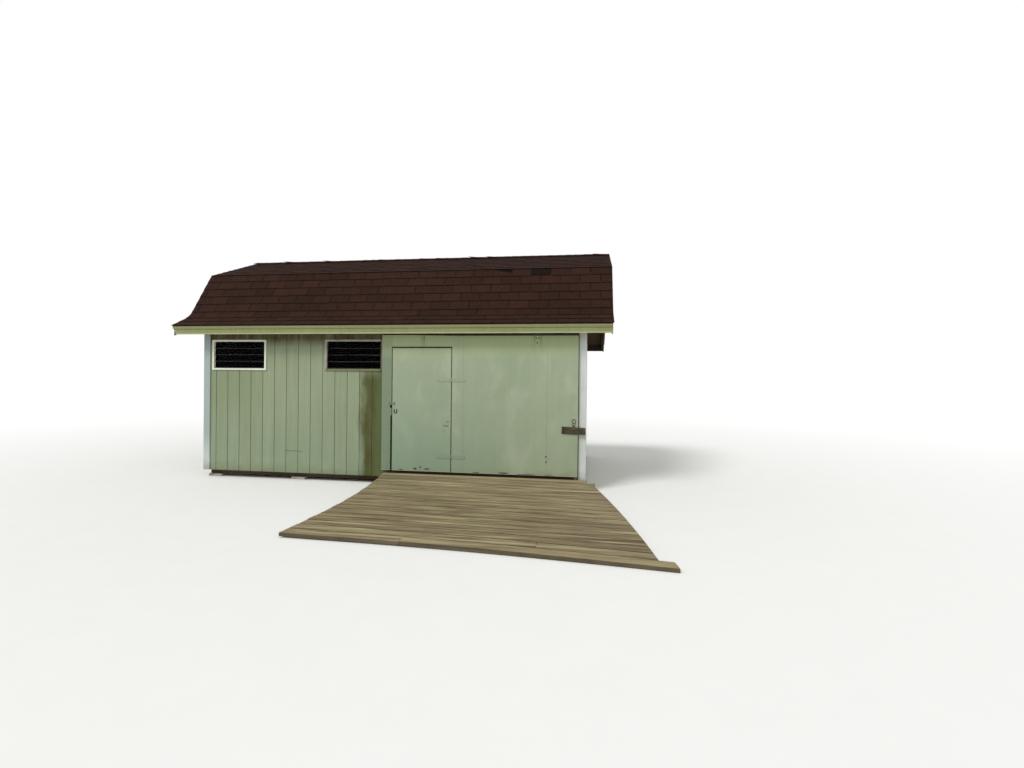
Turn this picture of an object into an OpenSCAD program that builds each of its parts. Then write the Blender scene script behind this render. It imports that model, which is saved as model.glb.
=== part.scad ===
/* [Building] */
// Length of the building over its corner trims
building_length = 6096; // [5600:8:7200]
// Depth of the building over its front and back siding
building_depth = 3658; // [3200:2:4400]
// Height of the top face of the wall plates
plate_height = 2424; // [2380:1:2600]
// Height of the bottom edge of the siding above the ground
siding_drop = 115; // [60:1:140]

/* [Foundation and floor] */
// Thickness of the foundation pads
pad_thick = 40; // [25:1:60]
// Length of a pad along the building
pad_length = 230; // [150:5:400]
// Width of a pad across the building
pad_width = 200; // [120:5:300]
// Number of pads under each skid
pads_per_skid = 5; // [3:2:7]
// Side of the square skid timbers
skid_side = 89; // [75:1:120]
// Distance of the outer skids from the outer face of the floor frame
skid_inset = 100; // [0:5:200]
// Depth of the floor joists
joist_depth = 89; // [75:1:100]
// Thickness of the floor deck
floor_thick = 16; // [12:1:25]
// Number of floor joists
joist_count = 14; // [10:1:20]

/* [Framing] */
// Thickness of studs, plates and rafters
stud_thick = 38; // [32:1:45]
// Depth of studs and rafters
stud_depth = 89; // [64:1:100]
// Number of rafter frames between the gable walls
frame_count = 11; // [8:1:14]
// Number of studs in the back wall
back_stud_count = 11; // [8:1:14]
// Number of studs in a gable wall
gable_stud_count = 6; // [4:1:8]
// Thickness of the gusset plates on the rafter joints
gusset_thick = 12; // [9:1:16]
// Reach of a gusset plate to each side of its joint
gusset_reach = 230; // [150:5:280]

/* [Siding and trim] */
// Thickness of the grooved siding sheets
siding_thick = 15; // [11:1:19]
// Spacing of the siding grooves
groove_pitch = 203.2; // [100:0.1:305]
// Width of a groove at the face
groove_width = 9.5; // [6:0.5:14]
// Depth of a groove
groove_depth = 6; // [3:0.5:8]
// Distance of the first groove from the outer edge of the left corner trim
groove_start = 210; // [150:1:300]
// Width of a corner trim board
trim_width = 107; // [70:1:120]
// Thickness of the corner trim boards
trim_thick = 19; // [12:1:19]

/* [Roof] */
// Distance of the fascia strip in front of the siding
eave_overhang = 260; // [230:1:300]
// Horizontal run of the flared eave
kick_run = 360; // [330:1:400]
// Pitch of the flared eave
kick_pitch = 27; // [24:0.5:29]
// Horizontal run of the lower slope above the flare
lower_run = 480; // [420:1:520]
// Pitch of the lower slope
lower_pitch = 58; // [56:0.5:60]
// Pitch of the upper slope
upper_pitch = 22; // [18:0.5:26]
// Length along the slope that the curve of the flare takes on each side
flare_length = 110; // [60:1:160]
// Distance of the rake boards outside the siding of the gable walls
rake_overhang = 374; // [300:1:450]
// Thickness of the roof deck
deck_thick = 12; // [9:1:19]
// Thickness of the shingles at their butts
shingle_thick = 8; // [5:0.5:12]
// Thickness of a shingle where the next course covers it
shingle_tail = 2; // [1:0.5:4]
// Number of shingle courses on a lower slope
lower_courses = 8; // [7:1:14]
// Number of shingle courses on an upper slope
upper_courses = 9; // [7:1:14]
// Distance by which the shingles run past the fascia and the rake boards
shingle_lip = 15; // [5:1:30]
// Width of one flap of the ridge cap
ridge_flap = 155; // [90:1:180]
// Height of the fascia from its bottom edge to the shingle surface above it
fascia_height = 148; // [120:1:180]
// Thickness of the fascia board
fascia_thick = 19; // [12:1:25]
// Height of the upper fascia strip
strip_height = 42; // [25:1:60]
// Thickness of the upper fascia strip
strip_thick = 12; // [8:1:19]
// Length cut off the bottom of the left end of the front fascia
fascia_end_cut = 45; // [0:1:80]
// Depth of the rake boards
rake_depth = 140; // [89:1:180]
// Thickness of the rake boards
rake_thick = 19; // [12:1:25]

/* [Windows] */
// Outer width of a window frame
window_width = 938; // [700:1:1000]
// Outer height of a window frame
window_height = 480; // [350:1:600]
// Distance of the top of the window frames below the top of the wall plates
window_drop = 224; // [160:1:400]
// Distance of the left window from the outer edge of the left corner trim
window_left = 145; // [120:1:200]
// Width of a window frame member seen from the front
sash_width = 28; // [20:1:40]
// Distance by which the window frames stand out of the siding
window_proud = 17; // [5:1:18]
// Depth of a window frame
window_depth = 80; // [60:1:100]
// Number of glass blades in a window
blade_count = 4; // [3:1:6]
// Thickness of a glass blade
blade_thick = 5; // [4:0.5:8]
// Overlap of one blade over the next
blade_lap = 10; // [6:1:16]
// Tilt of the closed blades
blade_tilt = 7; // [6:1:12]

/* [Doorway and sliding leaf] */
// Clear width of the doorway in the front wall
doorway_width = 2834; // [2600:1:3000]
// Distance of the doorway from the outer edge of the right corner trim
doorway_right = 166; // [130:1:300]
// Distance of the doorway's head below the top of the wall plates
header_height = 234; // [200:1:280]
// Distance by which the leaf covers the wall left of the doorway
leaf_lap_left = 63; // [30:1:70]
// Distance by which the leaf covers the wall right of the doorway
leaf_lap_right = 50; // [20:1:54]
// Distance of the leaf's bottom edge below the floor
leaf_drop = 9; // [0:1:20]
// Distance by which the leaf covers the wall above the doorway
leaf_lap_top = 74; // [40:1:80]
// Gap between the leaf and the siding behind it
leaf_gap = 25; // [24:1:40]
// Thickness of the boards of the leaf's frame
leaf_frame_thick = 25; // [18:1:38]
// Width of the boards of the leaf's frame
leaf_board = 89; // [60:1:110]
// Thickness of the sheets on the leaf
leaf_sheet_thick = 12; // [9:1:18]
// Distance from the leaf's left edge to the small door's opening
wicket_offset = 158; // [120:1:300]
// Width of the small door
wicket_width = 914; // [700:1:1000]
// Distance of the small door's opening below the leaf's top edge
wicket_drop = 180; // [100:1:300]
// Gap beside the small door
wicket_gap = 8; // [5:1:12]
// Gap above the small door
wicket_top_gap = 14; // [5:1:20]
// Depth that the left strip is cut back by, low down beside the small door
strip_cut_back = 18; // [0:1:40]
// Height of that cut above the leaf's bottom edge
strip_cut_height = 825; // [400:5:900]
// Distance from the leaf's left edge to the first seam between its sheets
first_seam = 1261; // [1200:1:1400]
// Width of the middle sheet
sheet_width = 1241; // [900:1:1260]
// Width of a seam between two sheets
seam_gap = 1; // [1:0.5:5]
// Distance of each hanger from the middle of the leaf
hanger_offset = 850; // [500:5:1200]
// Distance that the leaf slides
leaf_travel = 2850; // [2000:10:2880]

/* [Track and hangers] */
// Width of the slide track
track_width = 50; // [46:1:56]
// Height of the slide track
track_height = 60; // [50:1:70]
// Gap between the leaf's top edge and the track
track_gap = 26; // [22:1:40]
// Thickness of the track's walls
track_wall = 3; // [2:0.5:4]
// Width of the slot in the track
track_slot = 18; // [17:0.5:20]
// Distance of the track's ends beyond the hangers' travel
track_end = 140; // [100:10:300]
// Number of track brackets
bracket_count = 8; // [5:1:12]
// Thickness of the hanger plates
hanger_thick = 6; // [4:0.5:6]
// Width of the hanger plates
hanger_width = 60; // [40:1:80]
// Radius of the hanger wheels
wheel_radius = 17; // [14:0.5:20]
// Thickness of a hanger wheel
wheel_thick = 9; // [7:0.5:11]

/* [Hinges, latch and name board] */
// Distance of the upper strap hinge below the top of the small door
upper_hinge_drop = 475; // [150:1:600]
// Distance of the lower strap hinge above the bottom of the small door
lower_hinge_lift = 228; // [150:1:450]
// Length of a strap from the hinge pin
strap_length = 205; // [120:1:300]
// Width of a strap
strap_width = 52; // [30:1:70]
// Thickness of a strap
strap_thick = 4; // [3:0.5:6]
// Outer radius of the hinge knuckles
knuckle_radius = 6; // [5:0.5:9]
// Radius of the hinge pin
pin_radius = 3; // [2:0.5:4]
// Running clearance of the hinge pin
pin_clearance = 0.05; // [0.02:0.01:0.1]
// Distance of the latch plates above the bottom of the small door
latch_lift = 1005; // [700:1:1200]
// Size of the square latch plates
latch_plate = 40; // [30:1:60]
// Distance of the latch plates from the edge of the small door's opening
latch_gap = 4; // [2:0.5:8]
// Height of the finger notch in the edge of the leaf's left strip
notch_height = 50; // [20:1:80]
// Depth of that notch
notch_depth = 26; // [10:1:40]
// Distance of the notch's middle below the latch plates
notch_drop = 41; // [30:1:100]
// Distance of the drop handle from the small door's left edge
handle_inset = 54; // [30:1:120]
// Distance of the drop handle's top below the latch plates
handle_drop = 90; // [60:1:140]
// Radius of the drop handle's loop
handle_radius = 20; // [14:1:30]
// Length of the drop handle's sides
handle_side = 32; // [15:1:60]
// Radius of the rod that the drop handle is bent from
handle_rod = 5; // [3:0.5:7]
// Width of the name board
board_width = 335; // [200:1:400]
// Height of the name board
board_height = 100; // [60:1:160]
// Thickness of the name board
board_thick = 14; // [8:1:25]
// Height of the nail that the name board hangs from, above the leaf's bottom edge
board_nail_lift = 823; // [600:1:1000]
// Distance from that nail down to the name board
board_drop = 111; // [100:1:160]
// Distance of that nail from the leaf's right edge
board_nail_inset = 55; // [30:1:200]
// Distance of the name board's middle from the nail
board_shift = 2; // [0:1:60]
// Lean of the name board, which hangs off its middle
board_tilt = 2.5; // [0:0.5:6]
// Radius of the ring that the name board hangs from
ring_radius = 26; // [20:1:30]
// Radius of the link below that ring
link_radius = 19; // [12:1:22]
// Radius of the rod in the ring and the link
ring_rod = 4; // [3:0.5:5]

/* [Ramp] */
// Step from the floor down to the ramp's deck at the doorway
ramp_step = 46; // [30:1:70]
// Thickness of the ramp's boards
ramp_board_thick = 38; // [25:1:45]
// Width of a ramp board
ramp_board_width = 140; // [90:1:184]
// Gap between two ramp boards
ramp_board_gap = 5; // [3:1:12]
// Number of ramp boards
ramp_board_count = 19; // [12:1:24]
// Angle between the ramp's boards and the wall
ramp_skew = 4; // [0:0.5:6]
// Gap in front of the tapered board that takes up that angle
ramp_wide_gap = 10; // [5:1:20]
// Sideways bow of the last ramp board
ramp_bow = 50; // [0:5:80]
// Distance between the leaf's face and the first ramp board
ramp_gap = 8; // [6:1:30]
// Distance of the ramp's left edge from the leaf's left edge
ramp_left_inset = 50; // [-50:1:200]
// Distance of the ramp's right edge beyond the leaf's right edge at the doorway
ramp_right_step = 140; // [0:1:200]
// Distance that the skewed boards stand out beyond the first one, on the right
ramp_right_shift = 70; // [0:1:150]
// Extra width that the ramp gains on its right side at its foot
ramp_flare = 570; // [0:10:900]
// Outward bow of the ramp's right edge
ramp_right_bow = 42; // [0:1:80]
// Inward bow of the ramp's left edge
ramp_left_bow = 115; // [0:5:160]
// Distance that the last board's right end stands out
foot_board_reach = 130; // [0:5:180]
// Height of the ramp's ledger above the foundation pads
ledger_lift = 15; // [5:1:40]
// Unevenness of the boards' left ends
ramp_end_wander = 5; // [0:1:30]
// Number of stringers under the ramp
stringer_count = 6; // [4:1:9]

/* [Hidden] */

$fn = 48;
seat_gap = 0.3;
cut_over = 5;

paint_green = [0.59, 0.65, 0.55];
paint_siding = [0.55, 0.61, 0.47];
paint_trim = [0.78, 0.80, 0.78];
paint_fascia = [0.56, 0.58, 0.39];
paint_cream = [0.86, 0.86, 0.78];
wood_bare = [0.72, 0.60, 0.44];
wood_grey = [0.54, 0.50, 0.41];
wood_dark = [0.30, 0.24, 0.16];
steel_grey = [0.45, 0.45, 0.44];
concrete_grey = [0.66, 0.65, 0.62];
shingle_brown = [0.28, 0.22, 0.20];
glass_tint = [0.65, 0.75, 0.75, 0.5];

// Plan of the building
trim_half = building_length / 2;
side_half = trim_half - trim_thick;
frame_half = side_half - siding_thick;
depth_half = building_depth / 2;
stud_line = depth_half - siding_thick;
room_half_x = frame_half - stud_depth;
room_half_y = stud_line - stud_depth;

// Heights of the floor
skid_top = pad_thick + skid_side;
joist_top = skid_top + joist_depth;
floor_top = joist_top + floor_thick;
plate_clearance = 2;
siding_top = plate_height - siding_thick * tan(kick_pitch) - plate_clearance;
trim_top = siding_top - trim_thick * tan(kick_pitch);

// Windows and doorway along the front
doorway_x1 = trim_half - doorway_right;
doorway_x0 = doorway_x1 - doorway_width;
doorway_head = plate_height - header_height;
window1_x0 = -trim_half + window_left;
window1_x1 = window1_x0 + window_width;
window2_x1 = doorway_x0 - 2 * stud_thick - seat_gap;
window2_x0 = window2_x1 - window_width;
window_top = plate_height - window_drop;
window_bottom = window_top - window_height;

// The leaf and the small door in it
leaf_x0 = doorway_x0 - leaf_lap_left;
leaf_x1 = doorway_x1 + leaf_lap_right;
leaf_bottom = floor_top - leaf_drop;
leaf_top = doorway_head + leaf_lap_top;
leaf_mid = (leaf_x0 + leaf_x1) / 2;
leaf_thick = leaf_frame_thick + leaf_sheet_thick;
leaf_back_y = -depth_half - leaf_gap;
leaf_face_y = leaf_back_y - leaf_thick;
leaf_mid_y = leaf_back_y - leaf_thick / 2;
wicket_open_x0 = leaf_x0 + wicket_offset;
wicket_open_x1 = wicket_open_x0 + wicket_width + 2 * wicket_gap;
wicket_x0 = wicket_open_x0 + wicket_gap;
wicket_x1 = wicket_x0 + wicket_width;
wicket_head = leaf_top - wicket_drop;
wicket_top = wicket_head - wicket_top_gap;
upper_hinge_z = wicket_top - upper_hinge_drop;
lower_hinge_z = leaf_bottom + lower_hinge_lift;
latch_z = leaf_bottom + latch_lift;
notch_z = latch_z - notch_drop;
board_nail_z = leaf_bottom + board_nail_lift;
track_bottom = leaf_top + track_gap;
hinge_x = wicket_x1 + wicket_gap / 2;
hinge_y = leaf_face_y - knuckle_radius - seat_gap;

// Roof lines, with s the distance from the ridge's plane
tk = tan(kick_pitch);
tl = tan(lower_pitch);
tu = tan(upper_pitch);
ck = cos(kick_pitch);
cl = cos(lower_pitch);
cu = cos(upper_pitch);
sk = sin(kick_pitch);
sl = sin(lower_pitch);
su = sin(upper_pitch);
deck_d = shingle_thick + seat_gap;
deck_under_d = deck_d + deck_thick;
rafter_d = deck_under_d + seat_gap;
inside_d = rafter_d + stud_depth;
eave_s = depth_half + eave_overhang;
turn_s = eave_s - kick_run;

// The steep rafters stand on the outer edge of the wall plates
turn_z = plate_height + rafter_d / cl + (stud_line - turn_s) * tl;
eave_height = turn_z - kick_run * tk;
fascia_bottom = eave_height - fascia_height;
break_s = turn_s - lower_run;
break_z = turn_z + lower_run * tl;
flare_radius = flare_length / tan((lower_pitch - kick_pitch) / 2);
flare_centre = [
    turn_s + flare_length * ck + flare_radius * sk,
    turn_z - flare_length * sk + flare_radius * ck
];
flare_steps = 5;
fascia_back_s = eave_s - strip_thick - fascia_thick;
rake_x = side_half + rake_overhang;
shingle_x = rake_x + shingle_lip;

// Height of each slope at distance s, for a surface d below the shingles
function kick_z(s, d) = eave_height + (eave_s - s) * tk - d / ck;
function lower_z(s, d) = turn_z + (turn_s - s) * tl - d / cl;
function upper_z(s, d) = break_z + (break_s - s) * tu - d / cu;
function lower_s(z, d) = turn_s + (turn_z - d / cl - z) / tl;

// Point where the lower and the upper slope meet, d below the shingles
function break_at(d) =
    let (s = break_s + d * (1 / cl - 1 / cu) / (tu - tl))
    [s, upper_z(s, d)];

function ridge_at(d) = [0, upper_z(0, d)];

// Points of the curve between the flared eave and the lower slope
function flare_arc(d) = [
    for (i = [0:flare_steps])
    let (a = kick_pitch + (lower_pitch - kick_pitch) * i / flare_steps)
    flare_centre - (flare_radius + d) * [sin(a), cos(a)]
];

function lower_line(d, s_end) = concat([[s_end, kick_z(s_end, d)]], flare_arc(d), [break_at(d)]);

function reversed(list) = [for (i = [len(list) - 1:-1:0]) list[i]];

// A point on the lower slope's shingles, u along the slope from its edge
kick_len = kick_run / ck - flare_length + shingle_lip / ck;
flare_len = flare_radius * (lower_pitch - kick_pitch) * PI / 180;
steep_len = lower_run / cl - flare_length;
lower_len = kick_len + flare_len + steep_len;
edge_point = [eave_s + shingle_lip, kick_z(eave_s + shingle_lip, 0)];

function lower_point(u, d) =
    u <= kick_len ? edge_point + u * [-ck, sk] - d * [sk, ck] :
    u <= kick_len + flare_len ?
        let (a = kick_pitch + (u - kick_len) / flare_radius * 180 / PI)
        flare_centre - (flare_radius + d) * [sin(a), cos(a)] :
    let (a = lower_pitch, v = u - kick_len - flare_len)
    flare_centre - (flare_radius + d) * [sl, cl] + v * [-cl, sl];

upper_len = break_s / cu;

function upper_point(u, d) = [break_s, break_z] + u * [-cu, su] - d * [su, cu];

// Stretches a profile drawn in distance and height along the building
module along(x0, x1) {
    translate([x0, 0, 0])
        rotate([90, 0, 90])
            linear_extrude(x1 - x0)
                children();
}

module on_front() {
    mirror([0, 1, 0])
        children();
}

module on_both_sides() {
    children();
    on_front()
        children();
}

module on_both_ends() {
    children();
    mirror([1, 0, 0])
        children();
}

module box(low, high) {
    translate(low)
        cube(high - low);
}

// FOUNDATION AND FLOOR

skid_lines = [
    -stud_line + skid_inset + skid_side / 2,
    0,
    stud_line - skid_inset - skid_side / 2
];

module foundation_pads() {
    reach = frame_half - pad_length / 2;
    color(concrete_grey)
        for (y = skid_lines)
            for (i = [0:pads_per_skid - 1])
                translate([-reach + 2 * reach * i / (pads_per_skid - 1), y, pad_thick / 2])
                    cube([pad_length, pad_width, pad_thick], center = true);
}

module skids() {
    color(wood_grey)
        for (y = skid_lines)
            box([-frame_half, y - skid_side / 2, pad_thick], [frame_half, y + skid_side / 2, skid_top]);
}

module floor_frame() {
    pitch = (2 * frame_half - stud_thick) / (joist_count - 1);
    joist_end = stud_line - stud_thick - seat_gap;
    color(wood_bare) {
        on_both_sides()
            box([-frame_half, stud_line - stud_thick, skid_top], [frame_half, stud_line, joist_top]);
        for (i = [0:joist_count - 1])
            translate([-frame_half + pitch * i, 0, 0])
                box([0, -joist_end, skid_top], [stud_thick, joist_end, joist_top]);
        box([doorway_x0, -depth_half, skid_top], [doorway_x1, -stud_line - seat_gap, joist_top]);
    }
}

module floor_deck() {
    color(wood_bare) {
        box([-frame_half, -stud_line, joist_top], [frame_half, stud_line, floor_top]);
        box([doorway_x0, -depth_half, joist_top], [doorway_x1, -stud_line, floor_top]);
    }
}

// WALLS

// Outline of a groove at x, cut into the face at y = 0
function groove(x) = [
    [x - groove_width / 2, 0],
    [x - groove_width / 3, groove_depth],
    [x + groove_width / 3, groove_depth],
    [x + groove_width / 2, 0]
];

// Outline of a grooved sheet from x0 to x1, with its face at y = 0
function grooved_sheet(x0, x1, start) =
    let (
        first = ceil((x0 + groove_width - start) / groove_pitch),
        last = floor((x1 - groove_width - start) / groove_pitch)
    )
    concat(
        [[x0, 0]],
        [for (i = [first:1:last]) each groove(start + i * groove_pitch)],
        [[x1, 0], [x1, siding_thick], [x0, siding_thick]]
    );

groove_x = -trim_half + groove_start;

module front_siding(x0, x1, z0 = siding_drop) {
    translate([0, -depth_half, z0])
        linear_extrude(siding_top - z0)
            polygon(grooved_sheet(x0, x1, groove_x));
}

module window_holes(clearance) {
    for (x = [window1_x0, window2_x0])
        box(
            [x - clearance, -depth_half - window_proud - cut_over, window_bottom - clearance],
            [x + window_width + clearance, -room_half_y + cut_over, window_top + clearance]
        );
}

module front_siding_left() {
    color(paint_siding)
        difference() {
            front_siding(-side_half, doorway_x0);
            window_holes(seat_gap);
        }
}

// The sheet right of the doorway and the strip over the doorway
module front_siding_right() {
    color(paint_siding) {
        front_siding(doorway_x1, side_half);
        front_siding(doorway_x0 + seat_gap, doorway_x1 - seat_gap, doorway_head);
    }
}

stud_foot = floor_top + stud_thick + seat_gap;
stud_head = plate_height - stud_thick - seat_gap;

// A member of a stud wall between two corners, with the wall's depth
module wall_member(x0, x1, z0, z1) {
    box([x0, -stud_line, z0], [x1, -room_half_y, z1]);
}

module wall_plates(x0, x1) {
    wall_member(x0, x1, floor_top, floor_top + stud_thick);
    wall_member(x0, x1, plate_height - stud_thick, plate_height);
}

// An upright between two heights, by default from plate to plate
module wall_stud(x, z0 = stud_foot, z1 = stud_head) {
    wall_member(x, x + stud_thick, z0, z1);
}

// Members round a window, with short studs below its sill and above its head
module window_framing(x) {
    sill = window_bottom - seat_gap;
    head = window_top + seat_gap;
    wall_stud(x - seat_gap - stud_thick);
    wall_stud(x + window_width + seat_gap);
    wall_member(x, x + window_width, sill - stud_thick, sill);
    wall_member(x, x + window_width, head, head + stud_thick);
    wall_stud(x + (window_width - stud_thick) / 2, z1 = sill - stud_thick - seat_gap);
    wall_stud(x + (window_width - stud_thick) / 2, z0 = head + stud_thick + seat_gap);
}

module front_studs_left() {
    color(wood_bare) {
        wall_plates(-frame_half, doorway_x0);
        wall_stud(-frame_half);
        wall_stud((window1_x1 + window2_x0 - stud_thick) / 2);
        for (x = [window1_x0, window2_x0])
            window_framing(x);
        wall_member(doorway_x0 - stud_thick + seat_gap, doorway_x0, stud_foot, doorway_head);
    }
}

module front_studs_right() {
    color(wood_bare) {
        wall_plates(doorway_x1, frame_half);
        wall_member(doorway_x1, doorway_x1 + stud_thick - seat_gap, stud_foot, doorway_head);
        wall_stud(doorway_x1 + stud_thick);
        wall_stud(frame_half - stud_thick);
    }
}

// The beam over the doorway rests on the short studs beside it and carries the plate
module front_header() {
    reach = stud_thick - 2 * seat_gap;
    color(wood_bare) {
        wall_member(doorway_x0 - reach, doorway_x1 + reach, doorway_head, stud_head);
        wall_member(doorway_x0, doorway_x1, plate_height - stud_thick, plate_height);
    }
}

module back_siding() {
    color(paint_siding)
        on_front()
            front_siding(-side_half, side_half);
}

module back_studs() {
    pitch = (2 * frame_half - stud_thick) / (back_stud_count - 1);
    color(wood_bare)
        on_front() {
            wall_plates(-frame_half, frame_half);
            for (i = [0:back_stud_count - 1])
                wall_stud(-frame_half + pitch * i);
        }
}

// Outline of half a gable, out to the distance s and d below the shingles
function half_gable(s, d, z0) = concat(
    [[0, z0], [s, z0]],
    s > flare_arc(d)[0][0] ?
        concat([[s, kick_z(s, d)]], flare_arc(d)) :
        [[s, min(lower_z(s, d), kick_z(s, d))]],
    [break_at(d), ridge_at(d)]
);

module gable_siding() {
    intersection() {
        translate([side_half, 0, siding_drop])
            rotate([0, 0, 90])
                linear_extrude(ridge_at(0)[1] - siding_drop)
                    polygon(grooved_sheet(-stud_line, stud_line, -2 * groove_pitch));
        along(frame_half - cut_over, side_half + cut_over)
            union() {
                polygon(half_gable(stud_line, rafter_d, siding_drop));
                mirror([1, 0])
                    polygon(half_gable(stud_line, rafter_d, siding_drop));
            }
    }
}

module gable_studs() {
    clear = room_half_y;
    pitch = (2 * clear - stud_thick) / (gable_stud_count + 1);
    box([room_half_x, -clear, floor_top], [frame_half, clear, floor_top + stud_thick]);
    intersection() {
        for (i = [1:gable_stud_count])
            translate([0, -clear + pitch * i, 0])
                box([room_half_x, 0, stud_foot], [frame_half, stud_thick, break_z]);
        along(room_half_x, frame_half)
            union() {
                polygon(rafter_inside());
                mirror([1, 0])
                    polygon(rafter_inside());
            }
    }
}

// Half of the space under the rafters
function rafter_inside() = [
    [0, floor_top],
    [lower_s(plate_height, inside_d), floor_top],
    [lower_s(plate_height, inside_d), plate_height],
    break_at(inside_d),
    ridge_at(inside_d)
];

module left_gable_siding() {
    color(paint_siding)
        mirror([1, 0, 0])
            gable_siding();
}

module left_gable_studs() {
    color(wood_bare)
        mirror([1, 0, 0])
            gable_studs();
}

module right_gable_siding() {
    color(paint_siding)
        gable_siding();
}

module right_gable_studs() {
    color(wood_bare)
        gable_studs();
}

module corner_trims() {
    outer = [trim_half, depth_half + trim_thick];
    color(paint_trim)
        on_both_ends()
            on_both_sides()
                translate([0, 0, siding_drop])
                    linear_extrude(trim_top - siding_drop)
                        polygon([
                            outer,
                            outer - [trim_width, 0],
                            outer - [trim_width, trim_thick],
                            [side_half, depth_half],
                            [side_half, outer[1] - trim_width],
                            [trim_half, outer[1] - trim_width]
                        ]);
}

// WINDOWS

module window_frames() {
    color(paint_cream)
        for (x = [window1_x0, window2_x0])
            translate([x, -depth_half - window_proud, window_bottom])
                difference() {
                    cube([window_width, window_depth, window_height]);
                    translate([sash_width, -cut_over, sash_width])
                        cube([
                            window_width - 2 * sash_width,
                            window_depth + 2 * cut_over,
                            window_height - 2 * sash_width
                        ]);
                }
}

module window_louvres() {
    light_height = window_height - 2 * sash_width;
    pitch = light_height / (blade_count + 0.12);
    blade_height = pitch + blade_lap;
    color(glass_tint)
        for (x = [window1_x0, window2_x0])
            for (i = [0:blade_count - 1])
                translate([
                    x + sash_width + seat_gap,
                    -depth_half - window_proud + window_depth / 2,
                    window_bottom + sash_width + pitch * (i + 0.56)
                ])
                    rotate([-blade_tilt, 0, 0])
                        translate([0, -blade_thick / 2, -blade_height / 2])
                            cube([window_width - 2 * sash_width - 2 * seat_gap, blade_thick, blade_height]);
}

// ROOF

frame_pitch = (2 * frame_half - stud_thick) / (frame_count - 1);
frame_starts = concat(
    [-rake_x + rake_thick],
    [for (i = [0:frame_count - 1]) -frame_half + frame_pitch * i],
    [rake_x - rake_thick - stud_thick]
);

module each_frame() {
    for (x = frame_starts)
        along(x, x + stud_thick)
            children();
}

module lower_rafter_shape() {
    polygon([
        [lower_s(plate_height, rafter_d), plate_height],
        break_at(rafter_d),
        break_at(inside_d),
        [lower_s(plate_height, inside_d), plate_height]
    ]);
}

module upper_rafter_shape() {
    polygon([break_at(rafter_d), ridge_at(rafter_d), ridge_at(inside_d), break_at(inside_d)]);
}

module sprocket_shape() {
    end_s = fascia_back_s - seat_gap;
    translate([seat_gap / 2, 0])
        polygon(concat(
            [[end_s, kick_z(end_s, rafter_d)]],
            flare_arc(rafter_d),
            [[stud_line, plate_height], [end_s, plate_height - (end_s - stud_line) * tk]]
        ));
}

module front_lower_rafters() {
    color(wood_bare)
        on_front()
            each_frame()
                lower_rafter_shape();
}

module front_upper_rafters() {
    color(wood_bare)
        on_front()
            each_frame()
                upper_rafter_shape();
}

module back_upper_rafters() {
    color(wood_bare)
        each_frame()
            upper_rafter_shape();
}

module back_lower_rafters() {
    color(wood_bare)
        each_frame()
            lower_rafter_shape();
}

module eave_sprockets() {
    color(wood_bare)
        on_both_sides()
            each_frame()
                sprocket_shape();
}

// A gusset plate over the joint at the break
module break_gusset_shape() {
    outer = break_at(rafter_d);
    inner = break_at(inside_d);
    polygon([
        outer,
        outer + gusset_reach * [-cu, su],
        inner + gusset_reach * [-cu, su],
        inner,
        inner + gusset_reach * [cl, -sl],
        outer + gusset_reach * [cl, -sl]
    ]);
}

module ridge_gusset_shape() {
    polygon([
        ridge_at(rafter_d),
        ridge_at(rafter_d) + gusset_reach * [cu, -su],
        ridge_at(inside_d) + gusset_reach * [cu, -su],
        ridge_at(inside_d),
        ridge_at(inside_d) + gusset_reach * [-cu, -su],
        ridge_at(rafter_d) + gusset_reach * [-cu, -su]
    ]);
}

// Plates stand on the inner face of each rafter frame between the gables
module each_gusset() {
    for (i = [1:frame_count - 2])
        let (x = -frame_half + frame_pitch * i + stud_thick + seat_gap)
        along(x, x + gusset_thick)
            children();
}

module rafter_gussets() {
    color(wood_bare) {
        on_both_sides()
            each_gusset()
                break_gusset_shape();
        each_gusset()
            ridge_gusset_shape();
    }
}

module lower_deck_shape() {
    polygon(concat(lower_line(deck_d, eave_s), reversed(lower_line(deck_under_d, eave_s))));
}

module upper_deck_shape() {
    polygon([break_at(deck_d), ridge_at(deck_d), ridge_at(deck_under_d), break_at(deck_under_d)]);
}

module front_lower_deck() {
    color(wood_bare)
        on_front()
            along(-rake_x, rake_x)
                lower_deck_shape();
}

module front_upper_deck() {
    color(wood_bare)
        on_front()
            along(-rake_x, rake_x)
                upper_deck_shape();
}

module back_upper_deck() {
    color(wood_bare)
        along(-rake_x, rake_x)
            upper_deck_shape();
}

module back_lower_deck() {
    color(wood_bare)
        along(-rake_x, rake_x)
            lower_deck_shape();
}

// Stepped outline of a slope's shingles, each course lapping the one below
module lower_shingle_shape() {
    rise = lower_len / lower_courses;
    thin = shingle_thick - shingle_tail;
    steps = [
        for (i = [0:lower_courses - 1])
            each concat(
                [lower_point(rise * i, 0)],
                [
                    for (j = [1:2])
                        lower_point(rise * (i + j / 3), thin * j / 3)
                ],
                i < lower_courses - 1 ? [lower_point(rise * (i + 1), thin)] : []
            )
    ];
    polygon(concat(
        steps,
        [break_at(0), break_at(shingle_thick)],
        reversed(flare_arc(shingle_thick)),
        [lower_point(0, shingle_thick)]
    ));
}

module upper_shingle_shape() {
    rise = upper_len / upper_courses;
    thin = shingle_thick - shingle_tail;
    steps = [
        for (i = [0:upper_courses - 1])
            each [
                upper_point(rise * i, 0),
                i < upper_courses - 1 ? upper_point(rise * (i + 1), thin) : ridge_at(thin)
            ]
    ];
    polygon(concat(steps, [ridge_at(shingle_thick), break_at(shingle_thick)]));
}

module front_lower_shingles() {
    color(shingle_brown)
        on_front()
            along(-shingle_x, shingle_x)
                lower_shingle_shape();
}

module front_upper_shingles() {
    color(shingle_brown)
        on_front()
            along(-shingle_x, shingle_x)
                upper_shingle_shape();
}

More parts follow.
